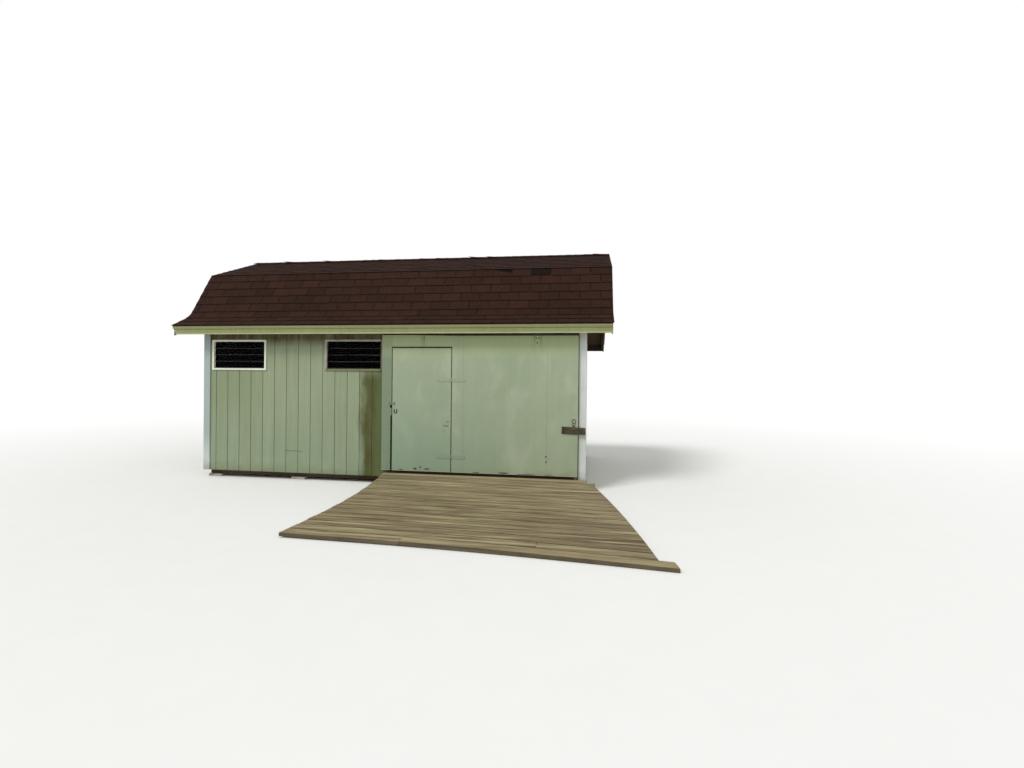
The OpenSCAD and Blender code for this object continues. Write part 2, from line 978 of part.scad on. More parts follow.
module back_upper_shingles() {
    color(shingle_brown)
        along(-shingle_x, shingle_x)
            upper_shingle_shape();
}

module back_lower_shingles() {
    color(shingle_brown)
        along(-shingle_x, shingle_x)
            lower_shingle_shape();
}

module ridge_cap() {
    under = ridge_at(-seat_gap);
    over = ridge_at(-seat_gap - shingle_thick);
    side = [seat_gap / 2, 0];
    color(shingle_brown)
        on_both_sides()
            along(-shingle_x, shingle_x)
                polygon([
                    under + side,
                    under + ridge_flap * [cu, -su],
                    over + ridge_flap * [cu, -su],
                    over + side
                ]);
}

module fascia_shape() {
    face_s = eave_s - strip_thick;
    top = kick_z(eave_s, rafter_d);
    polygon([
        [fascia_back_s, fascia_bottom],
        [face_s, fascia_bottom],
        [face_s, top - strip_height],
        [eave_s, top - strip_height],
        [eave_s, top],
        [fascia_back_s, kick_z(fascia_back_s, rafter_d)]
    ]);
}

module fascia_boards() {
    top = kick_z(eave_s, rafter_d);
    color(paint_fascia) {
        along(-rake_x, rake_x)
            fascia_shape();
        difference() {
            on_front()
                along(-rake_x, rake_x)
                    fascia_shape();
            translate([0, -fascia_back_s + cut_over, 0])
                rotate([90, 0, 0])
                    linear_extrude(strip_thick + fascia_thick + 2 * cut_over)
                        polygon([
                            [-rake_x - cut_over, fascia_bottom - cut_over],
                            [-rake_x + fascia_end_cut, fascia_bottom - cut_over],
                            [-rake_x + fascia_end_cut, fascia_bottom],
                            [-rake_x, top - strip_height / 2],
                            [-rake_x - cut_over, top - strip_height / 2]
                        ]);
        }
    }
}

module rake_shape() {
    outer = rafter_d;
    inner = outer + rake_depth;
    polygon(concat(
        [[fascia_back_s, kick_z(fascia_back_s, outer)]],
        flare_arc(outer),
        [break_at(outer), ridge_at(outer), ridge_at(inner), break_at(inner)],
        reversed(flare_arc(inner)),
        [[fascia_back_s, kick_z(fascia_back_s, inner)]]
    ));
}

module rake_boards() {
    color(paint_fascia)
        on_both_ends()
            on_both_sides()
                along(rake_x - rake_thick, rake_x)
                    rake_shape();
}

// SLIDE TRACK

hanger_xs = [leaf_mid - hanger_offset, leaf_mid + hanger_offset];
track_x0 = hanger_xs[0] - leaf_travel - track_end;
track_x1 = hanger_xs[1] + track_end;
track_s = -leaf_mid_y;

// The folded channel's walls, drawn as flats that meet at its corners
module track_shape() {
    side = track_width / 2;
    wall_top = track_bottom + track_height - track_wall;
    lip = side - track_wall - seat_gap - track_slot / 2;
    translate([track_s - side, wall_top])
        square([track_width, track_wall]);
    for (turn = [0, 1])
        translate([track_s, track_bottom])
            mirror([turn, 0]) {
                translate([side - track_wall, 0])
                    square([track_wall, track_height - track_wall - seat_gap]);
                translate([track_slot / 2, 0])
                    square([lip, track_wall]);
            }
}

module slide_track() {
    reach = track_s + track_width / 2;
    span = track_x1 - track_x0 - hanger_width;
    shelf = track_bottom + track_height + seat_gap;
    bracket_top = siding_top - hanger_thick;
    color(steel_grey)
        on_front() {
            along(track_x0, track_x1)
                track_shape();
            for (i = [0:bracket_count - 1])
                translate([track_x0 + span * i / (bracket_count - 1), 0, 0]) {
                    box([0, depth_half, shelf], [hanger_width, reach, shelf + hanger_thick]);
                    box([0, depth_half, shelf], [hanger_width, depth_half + hanger_thick, bracket_top]);
                }
        }
}

// RAMP

ramp_back_y = leaf_face_y - ramp_gap;
ramp_top = floor_top - ramp_step;
ramp_pitch = ramp_board_width + ramp_board_gap;
ramp_x0 = leaf_x0 + ramp_left_inset;
ramp_x1 = leaf_x1 + ramp_right_step;
ramp_x2 = ramp_x1 + ramp_right_shift;
skewed_from = ramp_pitch + 2 * ramp_wide_gap;
skewed_count = ramp_board_count - 2;
ramp_length = skewed_from + ramp_pitch * skewed_count - ramp_board_gap;
ramp_reach = ramp_length + tan(ramp_skew) * (ramp_x2 + ramp_flare - ramp_x0) + cut_over;
ramp_slope = asin((ramp_top - ramp_board_thick - 2) / ramp_reach);
board_steps = 6;

// Distance of a board's edge from the ramp's back edge, where it is v at the left end
function board_line(v, x) =
    let (along = (x - ramp_x0) / (ramp_x2 + ramp_flare - ramp_x0))
    v + tan(ramp_skew) * (x - ramp_x0) - ramp_bow * v / ramp_length * sin(180 * along);

function ramp_left(v) = ramp_x0 + ramp_left_bow * sin(180 * v / ramp_length);

// Right end of a board's edge that is v from the ramp's back edge at the left end
function ramp_right(v) =
    let (down = min(1, v / ramp_length))
    ramp_x2 + ramp_flare * down + ramp_right_bow * sin(180 * down);

function end_wander(i) = ramp_end_wander * sin(137 * i + 40);

// Distance of the back edge of board i from the ramp's back edge, at the left end
function board_back(i) = skewed_from + ramp_pitch * (i - 2);

// The points of a board's edge from x0 to x1
function board_edge(v, x0, x1) = [
    for (i = [0:board_steps])
    let (x = x0 + (x1 - x0) * i / board_steps)
    [x, -board_line(v, x)]
];

module ramp_plank() {
    translate([0, 0, -ramp_board_thick])
        linear_extrude(ramp_board_thick)
            children();
}

// The first board lies along the wall, and the second one is cut to a taper
module wall_boards() {
    taper_front = ramp_pitch + ramp_wide_gap;
    ramp_plank()
        polygon([
            [ramp_x0, 0],
            [ramp_x0, -ramp_board_width],
            [ramp_x1, -ramp_board_width],
            [ramp_x1, 0]
        ]);
    ramp_plank()
        polygon([
            [ramp_x0, -ramp_pitch],
            [ramp_x0, -board_line(taper_front, ramp_x0)],
            [ramp_right(ramp_pitch), -board_line(taper_front, ramp_right(ramp_pitch))],
            [ramp_right(ramp_pitch), -ramp_pitch]
        ]);
}

module ramp_boards() {
    color(wood_grey)
        translate([0, ramp_back_y, ramp_top])
            rotate([ramp_slope, 0, 0]) {
                wall_boards();
                for (i = [2:ramp_board_count - 1])
                    let (
                        v0 = board_back(i),
                        v1 = v0 + ramp_board_width,
                        x0 = ramp_left(v0) + end_wander(i),
                        foot = i == ramp_board_count - 1 ? foot_board_reach : 0
                    )
                    ramp_plank()
                        polygon(concat(
                            board_edge(v1, x0, ramp_right(v1) + foot),
                            reversed(board_edge(v0, x0, ramp_right(v0) + foot))
                        ));
            }
}

// Height of the underside of the ramp's boards, v in front of its back edge
function ramp_under(v) =
    ramp_top - v * tan(ramp_slope) - (ramp_board_thick + seat_gap) / cos(ramp_slope);

module ramp_stringers() {
    inset = 60;
    first = ramp_x0 + ramp_left_bow + inset / 2;
    last = ramp_x2 + ramp_flare / 2;
    color(wood_grey) {
        box(
            [max(first, doorway_x0), ramp_back_y, pad_thick + ledger_lift],
            [min(ramp_x1, doorway_x1), -depth_half - seat_gap, ramp_under(0)]
        );
        for (i = [0:stringer_count - 1])
            let (
                x = first + (last - first) * i / (stringer_count - 1),
                reach = (board_line(ramp_length, x) - inset) * cos(ramp_slope),
                outside = x + stud_thick + inset - ramp_x2,
                start = ramp_flare > 0 && outside > 0 ?
                    board_line(outside / ramp_flare * ramp_length, x) :
                    seat_gap
            )
            along(x, x + stud_thick)
                polygon([
                    [ramp_back_y - start, 0],
                    [ramp_back_y - start, ramp_under(start)],
                    [ramp_back_y - reach, ramp_under(reach)],
                    [ramp_back_y - reach, 0]
                ]);
    }
}

// SLIDING LEAF

// A board or sheet of the leaf, between distances from the leaf's back
module leaf_slab(x0, x1, z0, z1, from, to) {
    box([x0, leaf_back_y - to, z0], [x1, leaf_back_y - from, z1]);
}

module leaf_left_stile() {
    color(paint_green)
        difference() {
            leaf_slab(leaf_x0, wicket_open_x0, leaf_bottom, leaf_top, 0, leaf_thick);
            box(
                [wicket_open_x0 - strip_cut_back, leaf_face_y - cut_over, leaf_bottom - cut_over],
                [wicket_open_x0 + cut_over, leaf_back_y + cut_over, leaf_bottom + strip_cut_height]
            );
            box(
                [wicket_open_x0 - notch_depth, leaf_face_y - cut_over, notch_z - notch_height / 2],
                [wicket_open_x0 + cut_over, leaf_back_y + cut_over, notch_z + notch_height / 2]
            );
        }
}

module leaf_header() {
    color(paint_green)
        leaf_slab(wicket_open_x0, wicket_open_x1, wicket_head, leaf_top, 0, leaf_thick);
}

module leaf_right_frame() {
    seam1 = leaf_x0 + first_seam;
    seam2 = seam1 + sheet_width;
    half = leaf_board / 2;
    stiles = [wicket_open_x1, seam1 - half, (seam1 + seam2) / 2 - half, seam2 - half, leaf_x1 - leaf_board];
    rails = [leaf_bottom, (leaf_bottom + leaf_top) / 2 - half, leaf_top - leaf_board];
    color(wood_bare) {
        for (x = stiles)
            leaf_slab(x, x + leaf_board, leaf_bottom, leaf_top, 0, leaf_frame_thick);
        for (i = [1:len(stiles) - 1])
            let (x0 = stiles[i - 1] + leaf_board + seat_gap, x1 = stiles[i] - seat_gap)
            if (x1 - x0 > leaf_board)
                for (z = rails)
                    leaf_slab(x0, x1, z, z + leaf_board, 0, leaf_frame_thick);
    }
}

module leaf_right_sheets() {
    seam1 = leaf_x0 + first_seam;
    seam2 = seam1 + sheet_width;
    edges = [
        [wicket_open_x1, seam1 - seam_gap / 2],
        [seam1 + seam_gap / 2, seam2 - seam_gap / 2],
        [seam2 + seam_gap / 2, leaf_x1]
    ];
    color(paint_green)
        for (e = edges)
            leaf_slab(e[0], e[1], leaf_bottom, leaf_top, leaf_frame_thick, leaf_thick);
}

knuckle_length = strap_width / 3;

module knuckle(z, bore) {
    translate([hinge_x, hinge_y, z])
        difference() {
            cylinder(h = knuckle_length - seat_gap, r = knuckle_radius, center = true);
            cylinder(h = knuckle_length + cut_over, r = bore, center = true);
        }
}

// A strap on the face, from the knuckle at the hinge line outwards
module strap(z, height, side) {
    start = hinge_x + side * (knuckle_radius * 0.7);
    finish = hinge_x + side * strap_length;
    box(
        [min(start, finish), leaf_face_y - strap_thick - seat_gap, z - height / 2],
        [max(start, finish), leaf_face_y - seat_gap, z + height / 2]
    );
}

module hanger() {
    wheel_z = track_bottom + track_wall + wheel_radius + seat_gap;
    plate_top = wheel_z + wheel_radius / 2;
    box(
        [-hanger_width, leaf_face_y + 1, leaf_top],
        [hanger_width, leaf_back_y - 1, leaf_top + strap_thick]
    );
    box(
        [-hanger_width / 2, leaf_mid_y - hanger_thick / 2, leaf_top],
        [hanger_width / 2, leaf_mid_y + hanger_thick / 2, plate_top]
    );
    translate([0, leaf_mid_y, wheel_z])
        rotate([90, 0, 0])
            cylinder(h = hanger_thick + 2 * wheel_thick, r = wheel_radius, center = true);
}

module leaf_hardware() {
    color(steel_grey) {
        for (x = hanger_xs)
            translate([x, 0, 0])
                hanger();
        for (z = [lower_hinge_z, upper_hinge_z]) {
            for (side = [-1, 1])
                knuckle(z + side * knuckle_length, pin_radius - seat_gap);
            translate([hinge_x, hinge_y, z])
                cylinder(h = strap_width, r = pin_radius, center = true);
            difference() {
                strap(z, strap_width, 1);
                translate([hinge_x, hinge_y, z])
                    cube([4 * knuckle_radius, 4 * knuckle_radius, knuckle_length + seat_gap], center = true);
            }
        }
        translate([wicket_open_x0 - latch_plate, leaf_face_y - strap_thick, latch_z - latch_plate / 2])
            cube([latch_plate - latch_gap, strap_thick, latch_plate]);
    }
}

// A ring in the plane of the leaf, with its middle z below the name board's nail
module hanging_ring(z, radius) {
    translate([0, -ring_rod, -z])
        rotate([90, 0, 0])
            rotate_extrude($fn = 24)
                translate([radius, 0])
                    circle(r = ring_rod, $fn = 8);
}

module name_board() {
    clip_top = 24;
    clip_foot = 47;
    clip_lap = 42;
    clip_thick = 3;
    link_z = 2 * ring_radius + link_radius;
    color(wood_dark)
        translate([leaf_x1 - board_nail_inset, leaf_face_y - seat_gap, board_nail_z])
            rotate([0, board_tilt, 0]) {
                rotate([90, 0, 0])
                    cylinder(h = 4 * ring_rod, r = ring_rod - 1);
                hanging_ring(ring_radius, ring_radius);
                hanging_ring(link_z, link_radius);
                box(
                    [board_shift - board_width / 2, -board_thick, -board_drop - board_height],
                    [board_shift + board_width / 2, 0, -board_drop]
                );
                translate([0, -ring_rod, 0])
                    rotate([90, 0, 0])
                        linear_extrude(board_thick + clip_thick - ring_rod)
                            polygon([
                                [-clip_top / 2, -link_z - link_radius],
                                [-clip_foot / 2, -board_drop],
                                [-clip_foot / 2, -board_drop - clip_lap],
                                [clip_foot / 2, -board_drop - clip_lap],
                                [clip_foot / 2, -board_drop],
                                [clip_top / 2, -link_z - link_radius]
                            ]);
            }
}

// SMALL DOOR

module wicket_door() {
    z0 = leaf_bottom;
    z1 = wicket_top;
    back = leaf_frame_thick - seat_gap;
    inner = leaf_board + seat_gap;
    color(paint_green) {
        leaf_slab(wicket_x0, wicket_x1, z0, z1, leaf_frame_thick, leaf_thick);
        for (x = [wicket_x0, wicket_x1 - leaf_board])
            leaf_slab(x, x + leaf_board, z0, z1, 0, back);
        for (z = [z0, (z0 + z1 - leaf_board) / 2, z1 - leaf_board])
            leaf_slab(wicket_x0 + inner, wicket_x1 - inner, z, z + leaf_board, 0, back);
    }
}

// A loop of rod that hangs from two ears on the small door's face
module drop_handle() {
    gap = handle_rod + seat_gap;
    translate([wicket_x0 + handle_inset, leaf_face_y, latch_z - handle_drop]) {
        for (side = [-1, 1])
            translate([side * handle_radius, 0, 0]) {
                box([-handle_rod, -gap - handle_rod, -handle_rod], [handle_rod, 0, handle_rod]);
                translate([0, -gap, -handle_side])
                    cylinder(h = handle_side, r = handle_rod);
            }
        translate([0, -gap, -handle_side])
            rotate([-90, 0, 0])
                rotate_extrude(angle = 180)
                    translate([handle_radius, 0])
                        circle(r = handle_rod);
    }
}

module wicket_hardware() {
    color(steel_grey) {
        for (z = [lower_hinge_z, upper_hinge_z]) {
            knuckle(z, pin_radius + pin_clearance);
            difference() {
                strap(z, strap_width, -1);
                for (side = [-1, 1])
                    translate([hinge_x, hinge_y, z + side * knuckle_length])
                        cube(
                            [4 * knuckle_radius, 4 * knuckle_radius, knuckle_length + 2 * seat_gap],
                            center = true
                        );
            }
        }
        translate([wicket_x0 + latch_gap, leaf_face_y - strap_thick, latch_z - latch_plate / 2])
            cube([latch_plate, strap_thick, latch_plate]);
        drop_handle();
    }
}

foundation_pads();
skids();
floor_frame();
floor_deck();
front_siding_left();
front_siding_right();
front_studs_left();
front_studs_right();
front_header();
back_siding();
back_studs();
left_gable_siding();
left_gable_studs();
right_gable_siding();
right_gable_studs();
corner_trims();
window_frames();
window_louvres();
front_lower_rafters();
front_upper_rafters();
back_upper_rafters();
back_lower_rafters();
eave_sprockets();
rafter_gussets();
front_lower_deck();
front_upper_deck();
back_upper_deck();
back_lower_deck();
front_lower_shingles();
front_upper_shingles();
back_upper_shingles();
back_lower_shingles();
ridge_cap();
fascia_boards();
rake_boards();
slide_track();
ramp_boards();
ramp_stringers();
leaf_left_stile();
leaf_header();
leaf_right_frame();
leaf_right_sheets();
leaf_hardware();
name_board();
wicket_door();
wicket_hardware();
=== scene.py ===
"""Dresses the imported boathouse: finishes, roof shingles, ramp boards, nails, camera and light.

Everything is in metres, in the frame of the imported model. The front of the building faces -Y.
"""

import math
from itertools import product

import bmesh
import bpy
from mathutils import Matrix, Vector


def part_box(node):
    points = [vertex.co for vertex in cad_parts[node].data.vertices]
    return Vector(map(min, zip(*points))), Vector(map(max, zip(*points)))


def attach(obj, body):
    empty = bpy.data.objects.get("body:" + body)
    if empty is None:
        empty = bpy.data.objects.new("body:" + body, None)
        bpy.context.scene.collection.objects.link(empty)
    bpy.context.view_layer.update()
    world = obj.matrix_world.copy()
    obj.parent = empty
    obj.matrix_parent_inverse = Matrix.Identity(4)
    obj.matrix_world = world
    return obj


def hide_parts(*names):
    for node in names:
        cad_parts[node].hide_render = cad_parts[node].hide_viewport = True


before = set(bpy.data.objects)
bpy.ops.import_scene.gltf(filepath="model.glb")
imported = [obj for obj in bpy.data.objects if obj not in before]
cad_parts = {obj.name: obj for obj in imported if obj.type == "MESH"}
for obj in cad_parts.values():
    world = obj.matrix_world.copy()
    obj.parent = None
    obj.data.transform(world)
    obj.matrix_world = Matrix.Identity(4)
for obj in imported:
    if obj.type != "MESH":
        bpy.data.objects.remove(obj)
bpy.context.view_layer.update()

# Walls, windows and boards of the building, with the walls' outer faces at WALL_X and WALL_Y

WALL_X, WALL_Y = 3.029, 1.829
SIDING_BOTTOM = 0.115
SIDING_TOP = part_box("back_siding")[1].z
GROOVE_PITCH = 0.2032
GROOVE_START = -2.838
PATCH_LEFT, PATCH_RIGHT, PATCH_TOP = -1.628, -1.338, 0.456
FLOOR_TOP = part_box("floor_deck")[1].z
TRIM_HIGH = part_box("corner_trims")[1]
RAKE_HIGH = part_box("rake_boards")[1]
FASCIA_LOW, FASCIA_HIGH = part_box("fascia_boards")
STRIP_HEIGHT = 0.042
WINDOWS = [(-2.903, -1.965), (-0.966, -0.028)]
WINDOW_LOW, WINDOW_HIGH = 1.72, 2.2
WINDOW_BAR = 0.028
BLADES = 4
BLADE_END = 0.06
BLADE_PITCH = (WINDOW_HIGH - WINDOW_LOW - 2 * WINDOW_BAR) / (BLADES + 2 * BLADE_END)

# The leaf, the small door in it, their straps, and the name board

LEAF_LOW, LEAF_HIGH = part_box("leaf_left_stile")
LEAF_FACE, LEAF_BOTTOM, LEAF_TOP = LEAF_LOW.y, LEAF_LOW.z, LEAF_HIGH.z
LEAF_RIGHT = 2.932
LEAF_SEAMS = (1.246, 2.487)
WICKET_LOW, WICKET_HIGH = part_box("wicket_door")
WICKET_LEFT, WICKET_RIGHT, WICKET_TOP = WICKET_LOW.x, WICKET_HIGH.x, WICKET_HIGH.z
WICKET_MIDDLE = (WICKET_LEFT + WICKET_RIGHT) / 2
HINGE_X = WICKET_RIGHT + 0.004
HINGE_HEIGHTS = (LEAF_BOTTOM + 0.228, WICKET_TOP - 0.475)
STRAP_REACH = 0.205
STRAP_WIDTH = 0.052
STRAP_BOLTS = (0.045, 0.11, 0.18)
LATCH_X = WICKET_LEFT - 0.002
HANDLE_TOP = 1.17
NAME_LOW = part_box("name_board")[0]
CLIP_X = 2.873
CLIP_BOTTOM, CLIP_TOP = 0.893, 0.946

# The roof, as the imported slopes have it, with s the distance from the ridge's plane

KICK_PITCH, LOWER_PITCH, UPPER_PITCH = (math.radians(a) for a in (27, 58, 22))
KICK_RUN, LOWER_RUN = 0.36, 0.48
SHINGLE_LIP = 0.015
SHINGLE_DEPTH = 0.0083
SHINGLE_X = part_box("front_upper_shingles")[1].x
SLOPE_LOW, SLOPE_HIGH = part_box("front_lower_shingles")
EAVE_S = -SLOPE_LOW.y - SHINGLE_LIP
TURN_S = EAVE_S - KICK_RUN
BREAK_S = TURN_S - LOWER_RUN
BREAK_Z = SLOPE_HIGH.z
TURN_Z = BREAK_Z - LOWER_RUN * math.tan(LOWER_PITCH)
RIDGE_Z = BREAK_Z + BREAK_S * math.tan(UPPER_PITCH)
FLARE = 0.11
TORN_LEFT, TORN_RIGHT = 1.582, 1.862
GONE_LEFT, GONE_RIGHT = 2.175, 2.474
GONE_DEPTH = 0.138

# The ramp: its rows of boards are counted from the wall, and its slope is a sine

RAMP_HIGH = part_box("ramp_boards")[1]
RAMP = {
    "Rows": 19, "Width": 0.14, "Gap": 0.005, "Wide gap": 0.01, "Thick": 0.038, "Left": 0.035, "Right": 3.072,
    "Right shift": 0.07, "Flare": 0.57, "Right bow": 0.042, "Left bow": 0.115, "Bow": 0.05, "Length": 2.625,
    "Skew": math.tan(math.radians(4)), "Foot reach": 0.13, "Back": RAMP_HIGH.y, "Top": RAMP_HIGH.z,
    "Wander": 0.005, "Cup": 0.0025, "Edge": 0.003, "Joint row": 18, "Joint": 1.3, "Second joint row": 17,
    "Second joint": 2.6, "Joint gap": 0.003, "Seed": 4,
}
RAMP_SPAN = RAMP["Right"] + RAMP["Right shift"] + RAMP["Flare"] - RAMP["Left"]
RAMP["Slope"] = (RAMP["Top"] - RAMP["Thick"] - 0.002) / (RAMP["Length"] + RAMP["Skew"] * RAMP_SPAN + 0.005)
RAMP_STRINGERS = (0.199, 0.848, 1.498, 2.147, 2.797, 3.2)


# Values and nodes


def paint(colour):
    """Red, green and blue in steps of 0 to 255, as a shader's socket takes a colour."""
    shares = [step / 255 for step in colour]
    return [s / 12.92 if s <= 0.04045 else ((s + 0.055) / 1.055) ** 2.4 for s in shares] + [1.0]


def sign(operation, swapped=False):
    """What a sign between two values does: it adds a math node."""

    def work(value, other=0.0):
        pair = (other, value) if swapped else (value, other)
        return value.nodes.math(operation, *pair)

    return work


class Value:
    """What a node puts out. Signs and abs() on it add the math nodes that work them out."""

    __add__ = __radd__ = sign("ADD")
    __mul__ = __rmul__ = sign("MULTIPLY")
    __sub__ = sign("SUBTRACT")
    __rsub__ = sign("SUBTRACT", swapped=True)
    __truediv__ = sign("DIVIDE")
    __mod__ = sign("MODULO")
    __pow__ = sign("POWER")
    __lt__ = sign("LESS_THAN")
    __gt__ = sign("GREATER_THAN")
    __abs__ = sign("ABSOLUTE")

    def __init__(self, nodes, socket):
        self.nodes = nodes
        self.socket = socket

    def __floordiv__(self, other):
        return self.nodes.math("FLOOR", self / other)

    def near(self, target, margin):
        """One within a margin of the target, otherwise zero."""
        return self.nodes.math("COMPARE", self, target, margin)

    def within(self, low, high):
        """One from low to high, otherwise zero."""
        return self.near((low + high) / 2, (high - low) / 2)

    def between(self, low, high, start=0.0, end=1.0):
        """Start at low, end at high, evenly between them and level beyond them."""
        limits = {"Value": self, "From Min": low, "From Max": high, "To Min": start, "To Max": end}
        return self.nodes.add("ShaderNodeMapRange", limits, clamp=True)[0]


class Outputs:
    """A node's outputs, by name or by number."""

    def __init__(self, nodes, sockets):
        self.nodes = nodes
        self.sockets = sockets

    def __getitem__(self, key):
        return Value(self.nodes, self.sockets[key])


class Nodes:
    """Adds nodes to one tree. An input is a plain value or what another node puts out."""

    def __init__(self, tree):
        self.tree = tree

    def feed(self, socket, value):
        if isinstance(value, Value):
            self.tree.links.new(value.socket, socket)
        else:
            socket.default_value = value

    def add(self, kind, inputs=None, **settings):
        node = self.tree.nodes.new(kind)
        for name, setting in settings.items():
            setattr(node, name, setting)
        for key, value in (inputs or {}).items():
            self.feed(node.inputs[key], value)
        return Outputs(self, node.outputs)

    def use(self, effect, vector, **inputs):
        return self.add("ShaderNodeGroup", {"Vector": vector, **inputs}, node_tree=effect)

    def math(self, operation, a, b=0.0, c=0.0, clamp=False):
        return self.add("ShaderNodeMath", {0: a, 1: b, 2: c}, operation=operation, use_clamp=clamp)[0]

    def sine(self, angle):
        return self.math("SINE", angle)

    def most(self, first, *others):
        for other in others:
            first = self.math("MAXIMUM", first, other)
        return first

    def least(self, a, b):
        return self.math("MINIMUM", a, b)

    def mix(self, share, a, b):
        """A share of b over a. A plain colour is red, green and blue in steps of 0 to 255."""
        a, b = (paint(colour) if isinstance(colour, tuple) else colour for colour in (a, b))
        return self.add("ShaderNodeMix", {0: share, 6: a, 7: b}, data_type="RGBA")[2]

    def coats(self, colour, *layers):
        """A colour under several coats, each a mask and the coat's own colour."""
        for mask, coat in layers:
            colour = self.mix(mask, colour, coat)
        return colour

    def split(self, vector):
        return self.add("ShaderNodeSeparateXYZ", {0: vector})

    def join(self, x=0.0, y=0.0, z=0.0):
        return self.add("ShaderNodeCombineXYZ", {0: x, 1: y, 2: z})[0]

    def vector(self, operation, a, b=(0, 0, 0)):
        return self.add("ShaderNodeVectorMath", {0: a, 1: b}, operation=operation)

    def place(self, vector, scale=(1, 1, 1), turn=(0, 0, 0), move=(0, 0, 0)):
        inputs = {"Vector": vector, "Location": move, "Rotation": turn, "Scale": scale}
        return self.add("ShaderNodeMapping", inputs)[0]

    def noise(self, vector, scale, detail=3.0, rough=0.55, warp=0.0):
        """Cloudy noise. Its scale is one number, or one for each axis."""
        if isinstance(scale, tuple):
            vector, scale = self.place(vector, scale), 1.0
        inputs = {"Vector": vector, "Scale": scale, "Detail": detail, "Roughness": rough, "Distortion": warp}
        return self.add("ShaderNodeTexNoise", inputs)[0]

    def cells(self, vector, scale):
        return self.add("ShaderNodeTexVoronoi", {"Vector": vector, "Scale": scale})

    def speckle(self, vector, scale):
        """A random value for each small cell."""
        return self.split(self.cells(vector, scale)["Color"])[0]

    def lot(self, number):
        """A random value that stays the same for the same number."""
        return self.add("ShaderNodeTexWhiteNoise", {"W": number}, noise_dimensions="1D")["Value"]

    def stored(self, name):
        return self.add("ShaderNodeAttribute", attribute_name=name)["Fac"]


# Effects that finishes share


def effect(name, build, outputs, **inputs):
    """A shader node group with a place and named sizes as inputs, and float outputs."""
    tree = bpy.data.node_groups.new(name, "ShaderNodeTree")
    face = tree.interface
    face.new_socket(name="Vector", in_out="INPUT", socket_type="NodeSocketVector")
    for label, value in inputs.items():
        face.new_socket(name=label, in_out="INPUT", socket_type="NodeSocketFloat").default_value = value
    for label in outputs:
        face.new_socket(name=label, in_out="OUTPUT", socket_type="NodeSocketFloat")
    n = Nodes(tree)
    made = build(n, n.add("NodeGroupInput"))
    n.add("NodeGroupOutput", dict(zip(outputs, made, strict=True)))
    return tree


def build_grain(n, given):
    """Grain along X: growth rings, fine fibre, broad streaks, knots and drying checks."""
    v = given["Vector"]
    wave = {
        "Vector": n.place(v, (0.09, 1, 0.6)), "Scale": given["Rings"], "Distortion": 6.0, "Detail": 2.0,
        "Detail Scale": 0.8,
    }
    rings = n.add("ShaderNodeTexWave", wave, bands_direction="Y")["Fac"]
    fibre = n.noise(v, (7, 420, 420))
    streaks = n.noise(v, (1.3, 42, 42), 4, 0.6, 0.3).between(0.3, 0.7)
    knots = n.cells(n.place(v, (1.0, 2.6, 2.6)), 1.6)["Distance"].between(0.035, 0.07, 1, 0)
    splits = n.noise(v, (2.2, 160, 160), 2, 0.4, 0.2).between(0.66, 0.72)
    checks = splits * n.noise(v, (1.05, 15, 15)).between(0.45, 0.6)
    return rings, fibre, streaks, knots, checks


def build_weather(n, given):
    """Marks of years outdoors: soil splash, dirt under the eave, run marks, mottle, mildew."""
    v = given["Vector"]
    z = n.split(v)[2]
    patch = n.noise(v, (4.8, 4.8, 8), 5, 0.65)
    reach = given["Splash"] * patch.between(0.3, 0.7, 0.35, 1.3)
    splash = ((z - given["Bottom"]) / reach).between(1, 0) ** 1.6
    shelter = ((given["Top"] - z) / given["Shelter"]).between(1, 0) * patch.between(0.3, 0.6, 0.4, 1)
    runs = n.noise(v, (16, 16, 0.8), 4, 0.6).between(0.36, 0.66)
    mottle = n.noise(v, 1.1, 4, 0.6, 0.4).between(0.32, 0.68)
    mildew = n.noise(v, 55, 3, 0.7).between(0.62, 0.7) * n.noise(v, 2.3).between(0.48, 0.62)
    return splash, shelter, runs, mottle, mildew


def build_film(n, given):
    """A paint film: strokes of the brush, chips and fine unevenness."""
    v = given["Vector"]
    ragged = n.noise(v, 26, 6, 0.72, 0.5)
    chips = (ragged - (0.78 - given["Wear"])).between(0, 0.02)
    return n.noise(v, (170, 170, 7), 3, 0.6), chips, n.noise(v, 240)


def build_rust(n, given):
    """Rust on bare or painted metal, with its pits and its changes of tone."""
    v = given["Vector"]
    rust = (n.noise(v, 38, 5, 0.7, 0.3) + given["Amount"]).between(0.52, 0.66)
    return rust, n.noise(v, 420, 3, 0.6), n.noise(v, 130)


def build_spot(n, given):
    """One ragged oval mark on a wall that faces front, for a scar, a hole or a stain."""
    x, _, z = n.split(given["Vector"])
    ragged = (n.noise(given["Vector"], 60, 4, 0.65) - 0.5) * given["Ragged"]
    across = (x - given["X"]) / given["Width"]
    up = (z - given["Z"]) / given["Height"]
    reach = n.math("SQRT", across * across + up * up)
    return ((reach + ragged).between(0.42, 0.58, 1, 0),)


GRAIN = effect("Wood grain", build_grain, ["Rings", "Fibre", "Streaks", "Knots", "Checks"], Rings=9.0)
WEATHER = effect(
    "Weather marks", build_weather, ["Splash", "Shelter", "Runs", "Mottle", "Mildew"],
    Bottom=0.0, Splash=0.3, Top=2.4, Shelter=0.26,
)
FILM = effect("Paint film", build_film, ["Strokes", "Chips", "Uneven"], Wear=0.0)
RUST = effect("Rust", build_rust, ["Rust", "Pits", "Tone"], Amount=0.0)
SPOT = effect("Ragged spot", build_spot, ["Mask"], X=0.0, Z=0.0, Width=0.1, Height=0.1, Ragged=1.2)


# Finishes

ALONG_X = (0, 0, 0)
ALONG_Y = (0, 0, math.radians(90))
ALONG_Z = (0, math.radians(90), 0)


